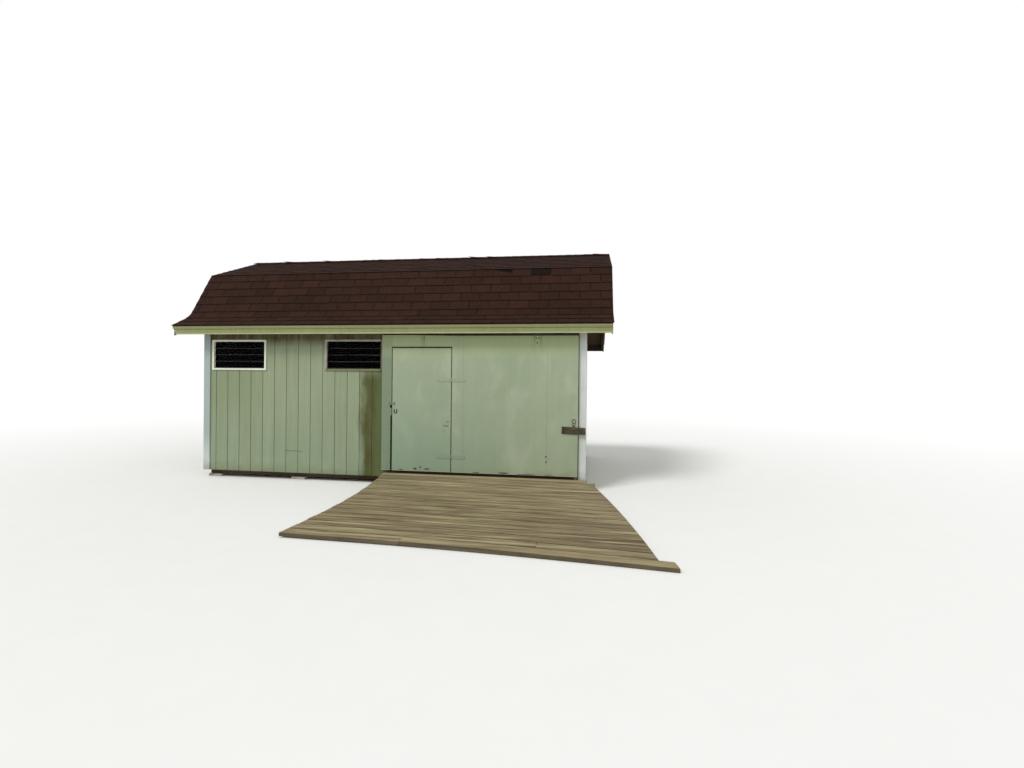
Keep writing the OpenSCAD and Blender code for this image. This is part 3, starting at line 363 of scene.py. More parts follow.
def finish(name, build):
    """A material. What it looks like comes from build, as values for the shader's sockets."""
    material = bpy.data.materials.new(name)
    material.use_nodes = True
    n = Nodes(material.node_tree)
    sockets = material.node_tree.nodes["Principled BSDF"].inputs
    for key, value in build(n, n.add("ShaderNodeTexCoord")["Object"]).items():
        n.feed(sockets[key], value)
    return material


def surface(n, colour, roughness, height=None, depth=0.0, **others):
    """The shader's values for a finish, with a fine relief of the given depth."""
    values = {"Base Color": colour, "Roughness": roughness}
    if height is not None:
        relief = {"Strength": 1.0, "Distance": depth, "Height": height}
        values["Normal"] = n.add("ShaderNodeBump", relief)[0]
    return values | {name.replace("_", " "): value for name, value in others.items()}


def spots(n, v, marks):
    """The sum of several ragged spots, each (x, z, width, height)."""
    names = ("X", "Z", "Width", "Height")
    return n.most(*(n.use(SPOT, v, **dict(zip(names, mark)))["Mask"] for mark in marks))


def inside_walls(x, y, depth):
    """One deeper in the building than a depth behind the outer faces of its walls."""
    return (abs(x) < WALL_X - depth) * (abs(y) < WALL_Y - depth)


def painted_wall(n, v, colours, splash, bottom=SIDING_BOTTOM, top=SIDING_TOP, wear=0.0, streaky=1.0):
    """Colour, marks and paint film of a painted outside wall, before marks of its own."""
    base, pale, dull, soil = colours
    marks = n.use(WEATHER, v, Bottom=bottom, Splash=splash, Top=top)
    film = n.use(FILM, v, Wear=wear)
    colour = n.coats(
        n.mix(marks["Mottle"], dull, base),
        (marks["Runs"] * (0.45 * streaky), pale),
        (film["Strokes"].between(0.3, 0.7, 0.0, 0.22 * streaky), pale),
        (marks["Shelter"] * 0.4, soil),
        (marks["Splash"] * 0.7, soil),
        (marks["Mildew"] * 0.5, (78, 84, 62)),
    )
    return colour, marks, film


def siding_paint(n, v):
    """Sage paint on rough sawn, grooved plywood; its back, inside the building, is bare."""
    colours = (143, 153, 125), (154, 164, 139), (130, 140, 111), (104, 98, 70)
    colour, marks, _ = painted_wall(n, v, colours, 0.22)
    x, y, z = n.split(v)
    grain = n.use(GRAIN, n.place(v, turn=ALONG_Z), Rings=14.0)
    streaks = grain["Streaks"]
    front = y < 0
    on_gable = abs(x) > WALL_X - 0.02
    own = n.lot((x - GROOVE_START) // GROOVE_PITCH + on_gable * (y // GROOVE_PITCH))
    cool = z.between(1.4, 0.4) * n.noise(v, 1.9, 4, 0.6).between(0.3, 0.6, 0.4, 1)
    # Painted shade: the front wall darker at mid height towards its left end
    painted_shade_left = x.between(-1.6, -2.4) * z.between(0.7, 1.3) * front
    # Beside the leaf, low on the front wall: partly an olive stain, partly painted shadow
    drift = n.noise(v, (5, 5, 1.4), 5, 0.6) - 0.5
    stain_and_shadow_sides = (x + drift * 0.3).between(-0.44, -0.3) * (x < 0.2)
    stain = stain_and_shadow_sides * (z + drift * 0.7).between(1.86, 1.6) * front
    ragged = n.noise(v, (9, 9, 2), 4, 0.6).between(0.3, 0.6, 0.55, 1)
    # Painted shade of the eave: a ragged dark brown band high on the front and back walls
    painted_eave_shade = z.between(2.08, 2.22) * (1.0 - on_gable) * ragged
    on_patch = x.within(PATCH_LEFT, PATCH_RIGHT) * front
    seam = on_patch * z.near(PATCH_TOP, 0.003)
    colour = n.coats(
        colour,
        (cool * 0.55, (120, 140, 118)),
        (own.between(0, 1, 0, 0.3), (126, 134, 100)),
        (streaks.between(0.5, 0.9) * 0.3, (120, 130, 98)),
        (painted_shade_left * 0.5, (118, 130, 98)),
        (stain * drift.between(-0.2, 0.1, 0.76, 0.95), (66, 67, 16)),
        (stain * x.between(-0.16, -0.1) * 0.5, (92, 108, 70)),
        (painted_eave_shade * 0.95, (72, 55, 5)),
        (on_patch * (z < PATCH_TOP) * 0.3, (124, 140, 112)),
        (seam * 0.85, (48, 52, 36)),
        (inside_walls(x, y, 0.0025) * 0.6, (66, 72, 50)),
        (inside_walls(x, y, 0.0135), n.mix(streaks, (150, 118, 78), (187, 156, 112))),
    )
    height = grain["Fibre"] * 0.9 + streaks * 0.5 - seam * 1.5
    roughness = marks["Mottle"].between(0, 1, 0.72, 0.88)
    return surface(n, colour, roughness, height, 0.0016, Specular_IOR_Level=0.25)


# Where the hangers are, each with how far from it the marks that run down start and end to fade
HANGERS = {0.64: (0.02, 0.06), 2.325: (0.05, 0.12)}
# Colour and strength of rust from the hangers, scuffs, chips along the lower edge and holes, and for
# each kind its spots as (x, z, width, height)
LEAF_MARKS = [
    ((62, 46, 26), 0.85, [
        (0.64, 2.208, 0.012, 0.05), (2.322, 2.212, 0.022, 0.03), (2.364, 2.212, 0.02, 0.028),
        (2.34, 2.145, 0.018, 0.03),
    ]),
    ((66, 76, 54), 0.8, [
        (1.014, 0.972, 0.05, 0.016), (0.989, 0.911, 0.085, 0.018), (0.962, 0.843, 0.016, 0.016),
    ]),
    ((52, 46, 32), 0.9, [
        (0.52, 0.262, 0.05, 0.03), (0.6, 0.286, 0.03, 0.024), (0.70, 0.262, 0.08, 0.026),
        (1.86, 0.243, 0.13, 0.024), (2.20, 0.232, 0.30, 0.02), (2.52, 0.232, 0.12, 0.016),
        (1.45, 0.236, 0.09, 0.018), (0.3, 0.24, 0.07, 0.016),
    ]),
    ((34, 34, 26), 0.95, [
        (2.482, 0.500, 0.026, 0.02), (2.483, 0.428, 0.022, 0.026), (2.52, 0.47, 0.014, 0.014),
    ]),
]


def leaf_paint(n, v):
    """Sage paint on the leaf's smooth sheets, yellower under the track and cooler low on the left."""
    colours = (147, 159, 131), (156, 168, 143), (140, 151, 123), (124, 128, 97)
    colour, marks, film = painted_wall(
        n, v, colours, 0.16, LEAF_BOTTOM - 0.02, LEAF_TOP + 0.16, streaky=0.45
    )
    x, y, z = n.split(v)
    streaks = n.use(GRAIN, n.place(v, turn=ALONG_Z))["Streaks"]
    cloud = n.noise(v, (1.56, 1.3, 1.17), 4, 0.6)
    # Pale soft blotches of painted dappled sunlight
    painted_sun_dapples = n.noise(n.place(v, (3.0, 1, 1.7), move=(0.4, 0, 0.9)), 1.0, 4, 0.5, 0.12)
    cool = z.between(1.9, 0.5) * x.between(2.4, 0.8) * cloud.between(0.3, 0.6, 0.5, 1)
    green = cloud.between(0.5, 0.66) * x.between(1.0, 1.6)
    tint = z.between(1.9, 2.2) * cloud.between(0.34, 0.6, 0.7, 1)
    # Painted shadow of the gap under the eave: a dark band along the leaf's top edge, taller towards the
    # right where the leaf sags
    sag = x.between(0.3, 1.2, 0.0, 0.018)
    painted_top_gap_shadow = (LEAF_TOP - z).between(sag, sag - 0.002) * x.between(0.35, 0.6)
    front = y < LEAF_FACE + 0.02
    below_hangers = n.most(*(abs(x - at).between(wide, narrow) for at, (narrow, wide) in HANGERS.items()))
    runs = n.noise(v, (60, 60, 1.5)).between(0.42, 0.6) * z.between(1.95, 2.2)
    from_sides = n.least(abs(x - HINGE_X), abs(x - (WICKET_LEFT - 0.004))) + z.between(2.07, 2.08)
    from_top = abs(z - (WICKET_TOP + 0.007)) * 0.6 + (abs(x - WICKET_MIDDLE) > 0.47)
    grime = n.least(from_sides, from_top).between(0.014, 0.003)
    behind = (y > LEAF_FACE + 0.0125) * (x > LEAF_LOW.x + 0.002)
    straps = []
    # Under each strap a thin dark line of painted shadow; at each strap's end a dark spot
    for height in HINGE_HEIGHTS:
        below = x.near(HINGE_X, STRAP_REACH) * z.near(height - STRAP_WIDTH / 2 - 0.003, 0.004)
        ends = [(HINGE_X + side * STRAP_REACH, height - 0.012, 0.02, 0.02) for side in (-1, 1)]
        straps += [(below * 0.6, (70, 80, 60)), (spots(n, v, ends) * 0.6, (64, 72, 52))]
    colour = n.coats(
        colour,
        (painted_sun_dapples.between(0.5, 0.7, 0, 0.62), (166, 175, 150)),
        (cool * 0.75, (122, 144, 122)),
        (green * 0.4, (130, 150, 116)),
        ((x < WICKET_LEFT - 0.004) * 0.85, (107, 123, 97)),
        (tint * 0.85, (165, 180, 129)),
        (painted_top_gap_shadow * 0.9, (18, 16, 10)),
        *((spots(n, v, places) * front * strength, stain) for stain, strength, places in LEAF_MARKS),
        (runs * below_hangers.between(0, 1, 0.05, 0.7), (98, 100, 62)),
        (grime * n.noise(v, 30, 4, 0.6).between(0.35, 0.6, 0.4, 1) * 0.82, (46, 48, 34)),
        *straps,
        (z.between(LEAF_BOTTOM + 0.012, LEAF_BOTTOM + 0.004) * 0.5, (176, 182, 160)),
        (behind * 0.85, n.mix(streaks, (84, 72, 48), (122, 112, 80))),
        ((y > LEAF_HIGH.y - 0.0015) * 0.9, n.mix(streaks, (152, 124, 84), (186, 158, 116))),
    )
    height = film["Strokes"] * 0.6 + (streaks * 0.3 + film["Uneven"])
    return surface(n, colour, marks["Mottle"].between(0, 1, 0.5, 0.66), height, 0.0007)


def board_paint(colours, splash, turn, bottom, top, own_marks):
    """Paint on a planed board, with the grain showing through and marks of its own on it."""

    def build(n, v):
        colour, marks, film = painted_wall(n, v, colours, splash, bottom, top, wear=0.012)
        grain = n.use(GRAIN, n.place(v, turn=turn), Rings=16.0)
        colour = n.coats(
            colour,
            (grain["Streaks"].between(0.55, 0.95) * 0.22, colours[2]),
            (film["Chips"] * 0.8, (120, 104, 78)),
            (grain["Checks"] * 0.5, (88, 84, 66)),
            *own_marks(n, v),
        )
        height = film["Strokes"] * 0.8 + grain["Streaks"] * 0.7
        roughness = marks["Mottle"].between(0, 1, 0.48, 0.68)
        return surface(n, colour, roughness, height, 0.0009, Specular_IOR_Level=0.25)

    return build


# Bare wood darkened to painted deep shade, for faces outside the walls that sit in deep shade
DARK_WOOD_IN_DEEP_SHADE = (25, 15, 8)


def left_trim_shade(n, v):
    """Painted shade: the left front trim is greyer than the others, less so near its foot."""
    x, y, z = n.split(v)
    return [((x < 0) * (y < 0) * z.between(0.3, 0.7, 0.35, 1) * 0.9, (148, 161, 157))]


def fascia_marks(n, v):
    """Pale upper strip and worn lower edge in front; behind, bare wood darkened to painted deep shade."""
    _, y, z = n.split(v)
    strip_bottom = FASCIA_HIGH.z - STRIP_HEIGHT
    strip = (z > strip_bottom) * (abs(y) > FASCIA_HIGH.y - 0.006)
    worn = n.noise(v, (8, 8, 30), 4, 0.6).between(0.3, 0.55, 0.5, 1)
    low = z.between(FASCIA_LOW.z + 0.022, FASCIA_LOW.z + 0.014) * worn
    high = z.between(FASCIA_HIGH.z - 0.012, FASCIA_HIGH.z - 0.006)
    return [
        (strip * 0.5, (140, 139, 104)),
        (z.near(strip_bottom, 0.004) * 0.55, (92, 92, 52)),
        (n.most(low, high) * 0.75, (176, 176, 140)),
        (abs(y) < FASCIA_HIGH.y - 0.029, DARK_WOOD_IN_DEEP_SHADE),
    ]


def rake_marks(n, v):
    """Bare wood darkened to painted deep shade on the side that faces the wall."""
    return [(abs(n.split(v)[0]) < RAKE_HIGH.x - 0.012, DARK_WOOD_IN_DEEP_SHADE)]


def window_stain_and_shade(n, v):
    """The second window's frame is darkened like the wall round it: partly stain, partly painted shade."""
    x, y, z = n.split(v)
    left, right = WINDOWS[1]
    second = (x > left - 0.024) * (y < 0)
    patch = n.noise(v, 6, 4, 0.6).between(0.3, 0.6, 0.7, 1)
    return [
        (second * patch * 0.7, (104, 96, 76)),
        (second * (z < WINDOW_LOW + 0.03) * 0.85, (106, 108, 68)),
        (second * (x > right - 0.034) * 0.75, (74, 62, 44)),
    ]


def glass(n, v):
    """Dusty window glass, tinted dark as painted shade of the room behind, with a glossy coat at the lower
    rim of each blade as a painted highlight.
    """
    dust = n.noise(v, (8, 8, 24), 5, 0.65)
    from_edge = n.split(v)[2] - (WINDOW_LOW + WINDOW_BAR + BLADE_PITCH * BLADE_END)
    # Painted highlight: a glossy coat along the lower rim of each blade
    rim = from_edge % BLADE_PITCH < 0.007
    return surface(
        # The dark tint of the glass is painted shade
        n, n.mix(dust.between(0.35, 0.7), (84, 92, 92), (70, 76, 72)), dust.between(0.4, 0.75, 0.03, 0.16),
        n.noise(v, 9, 2), 0.0004,
        Transmission_Weight=1.0, IOR=1.1, Coat_Weight=rim * 0.85, Coat_Roughness=0.35,
    )


def shingle_finish(n, v):
    """Brown asphalt shingles: stone granules, a tone of its own for each tab, pale blooms and wash marks,
    with painted shadow under each course's lower edge and in the tabs' slots.
    """
    x, y, z = n.split(v)
    speck = n.speckle(v, 420)
    worn = n.noise(v, 1.4, 5, 0.6, 0.5)
    wash = n.noise(v, (6, 1.44, 1.44), 4, 0.6).between(0.35, 0.7)
    bloom = n.noise(v, 26, 5, 0.7).between(0.64, 0.7) * worn.between(0.5, 0.62)
    # Painted shadow: dark lines along each tab's lower edge and beside its slots
    butt_shadow = n.stored("share").between(0.07, 0.03)
    joint = n.stored("aside").between(0.945, 0.975)
    depth = BREAK_Z - z
    top_course = (y < 0) * (z < BREAK_Z)
    torn = x.within(TORN_LEFT, TORN_RIGHT) * (depth < (x - TORN_LEFT) * 0.2 + 0.02)
    gone = x.within(GONE_LEFT, GONE_RIGHT) * (depth < GONE_DEPTH)
    colour = n.coats(
        n.mix(n.stored("tone"), (34, 20, 15), (53, 33, 26)),
        (worn.between(0.36, 0.68, 0, 0.45), (52, 35, 29)),
        (wash * 0.3, (30, 20, 18)),
        (speck.between(0.1, 0.9, 0.0, 0.4), (80, 54, 43)),
        ((speck < 0.3) * 0.6, (22, 15, 14)),
        (bloom * 0.45, (124, 116, 100)),
        (n.most(butt_shadow * 0.85, joint * 0.4), (14, 9, 8)),
        (n.most(torn, gone) * top_course * 0.85, (16, 11, 11)),
    )
    height = speck + n.noise(v, 60, 4) * 0.8
    return surface(n, colour, 0.92, height, 0.0014, Specular_IOR_Level=0.06)


def felt(n, v):
    """Bitumen felt under the shingles, with brown dust on it."""
    dust = n.noise(v, 14, 4, 0.6).between(0.4, 0.7)
    colour = n.mix(dust * 0.6, (18, 12, 11), (32, 21, 18))
    return surface(n, colour, 0.88, n.noise(v, 300), 0.0006, Specular_IOR_Level=0.1)


def timber(light, dark, turn, rings=12.0, worn=0.3, knots=0.7, deep_shade=0.0):
    """Planed or sawn timber without paint, darkened with painted deep shade where it stands out of the walls
    and with painted shade where it shows under the doors.
    """

    def build(n, v):
        x, y, z = n.split(v)
        grain = n.use(GRAIN, n.place(v, turn=turn), Rings=rings)
        # Painted shade on timber that shows under the doors and the siding
        painted_shade_under_door = (abs(y) > WALL_Y - 0.03) * (z < FLOOR_TOP - 0.0005)
        colour = n.coats(
            n.mix(grain["Streaks"], light, dark),
            (grain["Rings"] * 0.35, dark),
            (n.noise(v, 0.9).between(0.35, 0.65) * worn, (126, 118, 98)),
            (grain["Knots"] * knots, (92, 58, 34)),
            (grain["Checks"] * 0.8, (60, 48, 34)),
            ((1.0 - inside_walls(x, y, -0.001)) * deep_shade, DARK_WOOD_IN_DEEP_SHADE),
            (painted_shade_under_door * 0.85, (36, 28, 20)),
        )
        height = grain["Fibre"] * 0.7 + grain["Rings"] * 0.6
        return surface(n, colour, 0.78, height, 0.0008, Specular_IOR_Level=0.12)

    return build


def ramp_wood(n, v):
    """Grey, sun-bleached ramp boards with dark wet grain and greenish patches."""
    shift = n.stored("board")
    moved = n.vector("ADD", v, n.join(shift * 3.71, shift * 1.37))[0]
    grain = n.use(GRAIN, moved, Rings=10.0)
    tone = n.stored("tone")
    streak = n.noise(moved, (1.1, 30, 30), 4, 0.62, 0.4).between(0.34, 0.66)
    broad = n.noise(v, (0.8, 1.5, 1), 4, 0.6, 0.4).between(0.34, 0.66)
    green = n.noise(v, 1.7, 4, 0.6).between(0.5, 0.68)
    damp = n.noise(moved, (0.9, 7, 7), 5, 0.6, 0.8)
    bleached = n.noise(n.place(moved, (0.7, 11, 11), move=(3, 1, 0)), 1.0, 5, 0.6, 0.6)
    # Painted sunlight: the first board along the wall is paler
    painted_sunlight_board = n.split(v)[1] > RAMP["Back"] - RAMP["Width"] - 0.002
    colour = n.coats(
        n.mix(streak, (82, 69, 46), (172, 157, 118)),
        (tone.between(0.3, 1, 0, 0.6), (164, 150, 113)),
        (tone.between(0.3, 0, 0, 0.45), (84, 70, 48)),
        (broad * 0.5, (94, 80, 54)),
        (grain["Rings"].between(0.5, 1, 0, 0.3), (94, 83, 60)),
        (grain["Checks"] * 0.9, (44, 36, 26)),
        (grain["Knots"] * 0.6, (82, 62, 42)),
        (green * 0.25, (110, 112, 68)),
        (damp.between(0.52, 0.68, 0, 0.7), (76, 60, 38)),
        (bleached.between(0.52, 0.66, 0, 0.6), (186, 173, 134)),
        (painted_sunlight_board * 0.4, (166, 154, 122)),
        # Painted shade along the boards' long edges, at the gaps
        (n.stored("edge").between(0.9, 0.97) * 0.75, (42, 34, 24)),
    )
    height = grain["Streaks"] * 0.9 + grain["Fibre"] * 0.6 - grain["Checks"] * 1.6
    return surface(n, colour, 0.86, height, 0.002)


def metal(light, dark, rust_amount, roughness, rusty=((84, 46, 26), (138, 82, 44))):
    """Zinc-coated or bare steel with rust."""

    def build(n, v):
        rust = n.use(RUST, v, Amount=rust_amount)
        rusted = rust["Rust"]
        colour = n.mix(rusted, n.mix(n.speckle(v, 90), dark, light), n.mix(rust["Tone"], *rusty))
        return surface(
            n, colour, rusted.between(0, 1, roughness, 0.9), rust["Pits"] + rusted, 0.0004,
            Metallic=rusted.between(0, 1, 0.85, 0.0),
        )

    return build


def painted_iron(n, v):
    """Hinge straps and latch plates painted over with the door; the drop handle is left dark, and all above
    the leaf's top, such as the hangers, is darkened as painted shade.
    """
    x, _, z = n.split(v)
    rust = n.use(RUST, v, Amount=-0.06)
    film = n.use(FILM, v, Wear=0.02)
    on_latch = x < 0.3
    handle = on_latch * (z < HANDLE_TOP)
    colour = n.coats(
        n.mix(film["Uneven"].between(0.3, 0.7), (138, 151, 124), (148, 160, 134)),
        (z.between(1.5, 0.7, 0, 0.8), (124, 144, 121)),
        (rust["Rust"] * 0.75, n.mix(rust["Tone"], (90, 66, 42), (128, 96, 62))),
        # Painted shade: darker above the leaf's top, where the hangers sit in the dark gap under the eave
        ((z > LEAF_TOP - 0.002) * 0.9, (40, 36, 28)),
        (on_latch * abs(x - LATCH_X).between(0.012, 0.03) * 0.8, (66, 66, 50)),
        (handle, n.mix(rust["Rust"], (34, 33, 30), n.mix(rust["Tone"], (52, 38, 28), (84, 58, 38)))),
    )
    roughness = rust["Rust"].between(0, 1, 0.5, 0.85)
    return surface(n, colour, roughness, rust["Pits"] + film["Strokes"], 0.0006, Metallic=handle * 0.5)


def dark_board(n, v):
    """The bare name board, weathered dark and greenish in places, and the iron that it hangs from."""
    x, y, z = n.split(v)
    grain = n.use(GRAIN, v, Rings=26.0)
    rust = n.use(RUST, v, Amount=0.03)
    clip = (y < NAME_LOW.y + 0.002) * x.near(CLIP_X, 0.027) * (z > CLIP_BOTTOM)
    iron = n.most(clip, z > CLIP_TOP)
    colour = n.coats(
        n.mix(grain["Streaks"], (34, 30, 16), (60, 54, 32)),
        (n.noise(v, 21, 5, 0.65).between(0.42, 0.62) * 0.55, (86, 84, 52)),
        (x.between(NAME_LOW.x + 0.07, NAME_LOW.x + 0.02, 0, 0.8), (24, 24, 12)),
        (grain["Checks"] * 0.8, (24, 20, 14)),
        (iron, n.mix(rust["Rust"], (78, 78, 64), n.mix(rust["Tone"], (54, 44, 28), (86, 66, 42)))),
    )
    height = (grain["Streaks"] + grain["Fibre"] * 0.6) * (1.0 - iron)
    return surface(n, colour, iron.between(0, 1, 0.82, 0.6), height, 0.0012, Metallic=iron * 0.4)


def concrete(n, v):
    """Cast concrete pads with soil stains."""
    speck = n.noise(v, 160, 4, 0.7)
    broad = n.noise(v, 7, 4, 0.6)
    colour = n.mix(speck.between(0.35, 0.65), (148, 144, 134), (178, 174, 164))
    colour = n.mix(broad.between(0.4, 0.7, 0, 0.6), colour, (112, 100, 80))
    return surface(n, colour, 0.9, speck + broad * 0.6, 0.0016)


def pale_floor(n, v):
    """A pale floor that fades to white away from the building."""
    far = n.vector("LENGTH", v)["Value"].between(5, 16)
    near = n.mix(n.noise(v, 3.0, 2), (236, 236, 233), (240, 240, 237))
    return surface(n, n.mix(far, near, (252, 252, 251)), 0.95, Specular_IOR_Level=0.2)


WHITE = (204, 210, 205), (218, 222, 220), (186, 193, 184), (128, 124, 100)
OLIVE = (132, 136, 90), (142, 146, 104), (118, 122, 76), (98, 92, 58)
CREAM = (220, 223, 207), (230, 232, 220), (202, 203, 184), (146, 140, 112)
PINE = (196, 164, 118), (158, 122, 78)
DARK_PINE = (78, 70, 50), (52, 45, 32)
FLOOR_PLY = (172, 146, 106), (134, 108, 74)
ROOF_PLY = (186, 158, 116), (150, 120, 80)
ZINC = (150, 152, 152), (104, 106, 108)
# Painted shade: the track's steel and rust are darkened, as the track sits in the dark gap under the eave
DIRTY_STEEL_IN_SHADE = (66, 60, 52), (44, 40, 35)
DARK_RUST_IN_SHADE = (48, 33, 24), (68, 47, 33)

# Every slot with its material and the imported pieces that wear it
FINISHES = {}
NODE_FINISH = {}
for slot, name, build, pieces in [
    ("siding_paint", "sage paint on grooved siding", siding_paint,
     "front_siding_left front_siding_right back_siding left_gable_siding right_gable_siding"),
    ("leaf_paint", "sage paint on the leaf", leaf_paint,
     "leaf_left_stile leaf_header leaf_right_sheets wicket_door"),
    ("trim_paint", "white trim paint",
     board_paint(WHITE, 0.3, ALONG_Z, SIDING_BOTTOM, SIDING_TOP, left_trim_shade), "corner_trims"),
    ("fascia_paint", "olive fascia paint",
     board_paint(OLIVE, 0.02, ALONG_X, 2.2, 4.2, fascia_marks), "fascia_boards"),
    ("rake_paint", "olive rake paint",
     board_paint(OLIVE, 0.02, ALONG_Y, 2.2, 4.2, rake_marks), "rake_boards"),
    ("window_paint", "cream window paint",
     board_paint(CREAM, 0.05, ALONG_X, 1.68, 2.5, window_stain_and_shade), "window_frames"),
    ("window_glass", "dusty window glass", glass, "window_louvres"),
    ("shingles", "brown asphalt shingles", shingle_finish,
     "front_lower_shingles front_upper_shingles back_upper_shingles back_lower_shingles ridge_cap"),
    ("bare_timber", "bare framing timber", timber(*PINE, ALONG_X), "floor_frame front_header"),
    ("upright_timber", "bare upright timber", timber(*PINE, ALONG_Z, deep_shade=0.85),
     "front_studs_left front_studs_right back_studs left_gable_studs right_gable_studs "
     "front_lower_rafters back_lower_rafters leaf_right_frame"),
    ("sloping_timber", "bare rafter timber", timber(*PINE, ALONG_Y, deep_shade=0.85),
     "front_upper_rafters back_upper_rafters eave_sprockets"),
    ("treated_timber", "treated ground timber",
     timber(*DARK_PINE, ALONG_X, 9, 0.3, 0.5), "skids ramp_stringers"),
    ("floor_plywood", "worn floor plywood", timber(*FLOOR_PLY, ALONG_X, 6, 0.5, 0.6), "floor_deck"),
    ("roof_plywood", "roof plywood", timber(*ROOF_PLY, ALONG_X, 6, 0.25, 0.7, 0.85),
     "rafter_gussets front_lower_deck front_upper_deck back_upper_deck back_lower_deck"),
    ("weathered_deck", "weathered ramp boards", ramp_wood, "ramp_boards"),
    ("galvanised_steel", "galvanised steel", metal(*ZINC, -0.08, 0.45), ""),
    ("track_steel", "dirty track steel in painted shade", metal(*DIRTY_STEEL_IN_SHADE, 0.0, 0.6, DARK_RUST_IN_SHADE), "slide_track"),
    ("painted_iron", "painted hinge iron", painted_iron, "leaf_hardware wicket_hardware"),
    ("dark_board", "dark name board", dark_board, "name_board"),
    ("felt", "black roofing felt", felt, ""),
    ("pad_concrete", "pad concrete", concrete, "foundation_pads"),
]:
    FINISHES[slot] = finish(name, build)
    NODE_FINISH |= dict.fromkeys(pieces.split(), slot)

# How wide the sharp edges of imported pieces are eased; zero leaves them as they are
EASED = {}
for width, pieces in [
    (0.006, "foundation_pads"), (0.004, "skids"), (0.0025, "corner_trims fascia_boards rake_boards"),
    (0.002, "window_frames"), (0.0015, "leaf_left_stile leaf_header wicket_door"),
    (0.0012, "slide_track leaf_right_sheets name_board"),
    (0.001, "front_siding_left front_siding_right back_siding left_gable_siding right_gable_siding"),
    (0.0007, "leaf_hardware wicket_hardware"), (0.0006, "window_louvres"),
    (0, "floor_deck front_lower_deck front_upper_deck back_upper_deck back_lower_deck"),
]:
    EASED |= dict.fromkeys(pieces.split(), width)


def dress_cad_nodes():
    """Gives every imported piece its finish, and rounds the sharp edges of the boards a little."""
    for name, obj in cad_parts.items():
        obj.data.materials.clear()
        obj.data.materials.append(FINISHES[NODE_FINISH[name]])
        width = EASED.get(name, 0.003)
        if not width or NODE_FINISH[name] == "shingles":
            continue
        weld = obj.modifiers.new("joined corners", "WELD")
        weld.merge_threshold = 0.00005
        flat = obj.modifiers.new("whole faces", "DECIMATE")
        flat.decimate_type = "DISSOLVE"
        flat.angle_limit = math.radians(0.5)
        bevel = obj.modifiers.new("eased edges", "BEVEL")
        bevel.width = width
        bevel.segments = 2
        bevel.limit_method = "ANGLE"
        bevel.angle_limit = math.radians(40)


# Shapes grown by geometry nodes


def new_mesh(name, corners, edges=(), faces=()):
    mesh = bpy.data.meshes.new(name)
    mesh.from_pydata(corners, edges, faces)
    return mesh


def new_object(name, data):
    thing = bpy.data.objects.new(name, data)
    bpy.context.scene.collection.objects.link(thing)
    return thing


def put(name, mesh, body, stands_for=(), turned=False):
    """Adds a finished mesh as a piece that rides on a body, turned half round for the back."""
    if turned:
        mesh.transform(Matrix.Rotation(math.pi, 4, "Z"))
    piece = new_object(name, mesh)
    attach(piece, body)
    if stands_for:
        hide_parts(*stands_for)


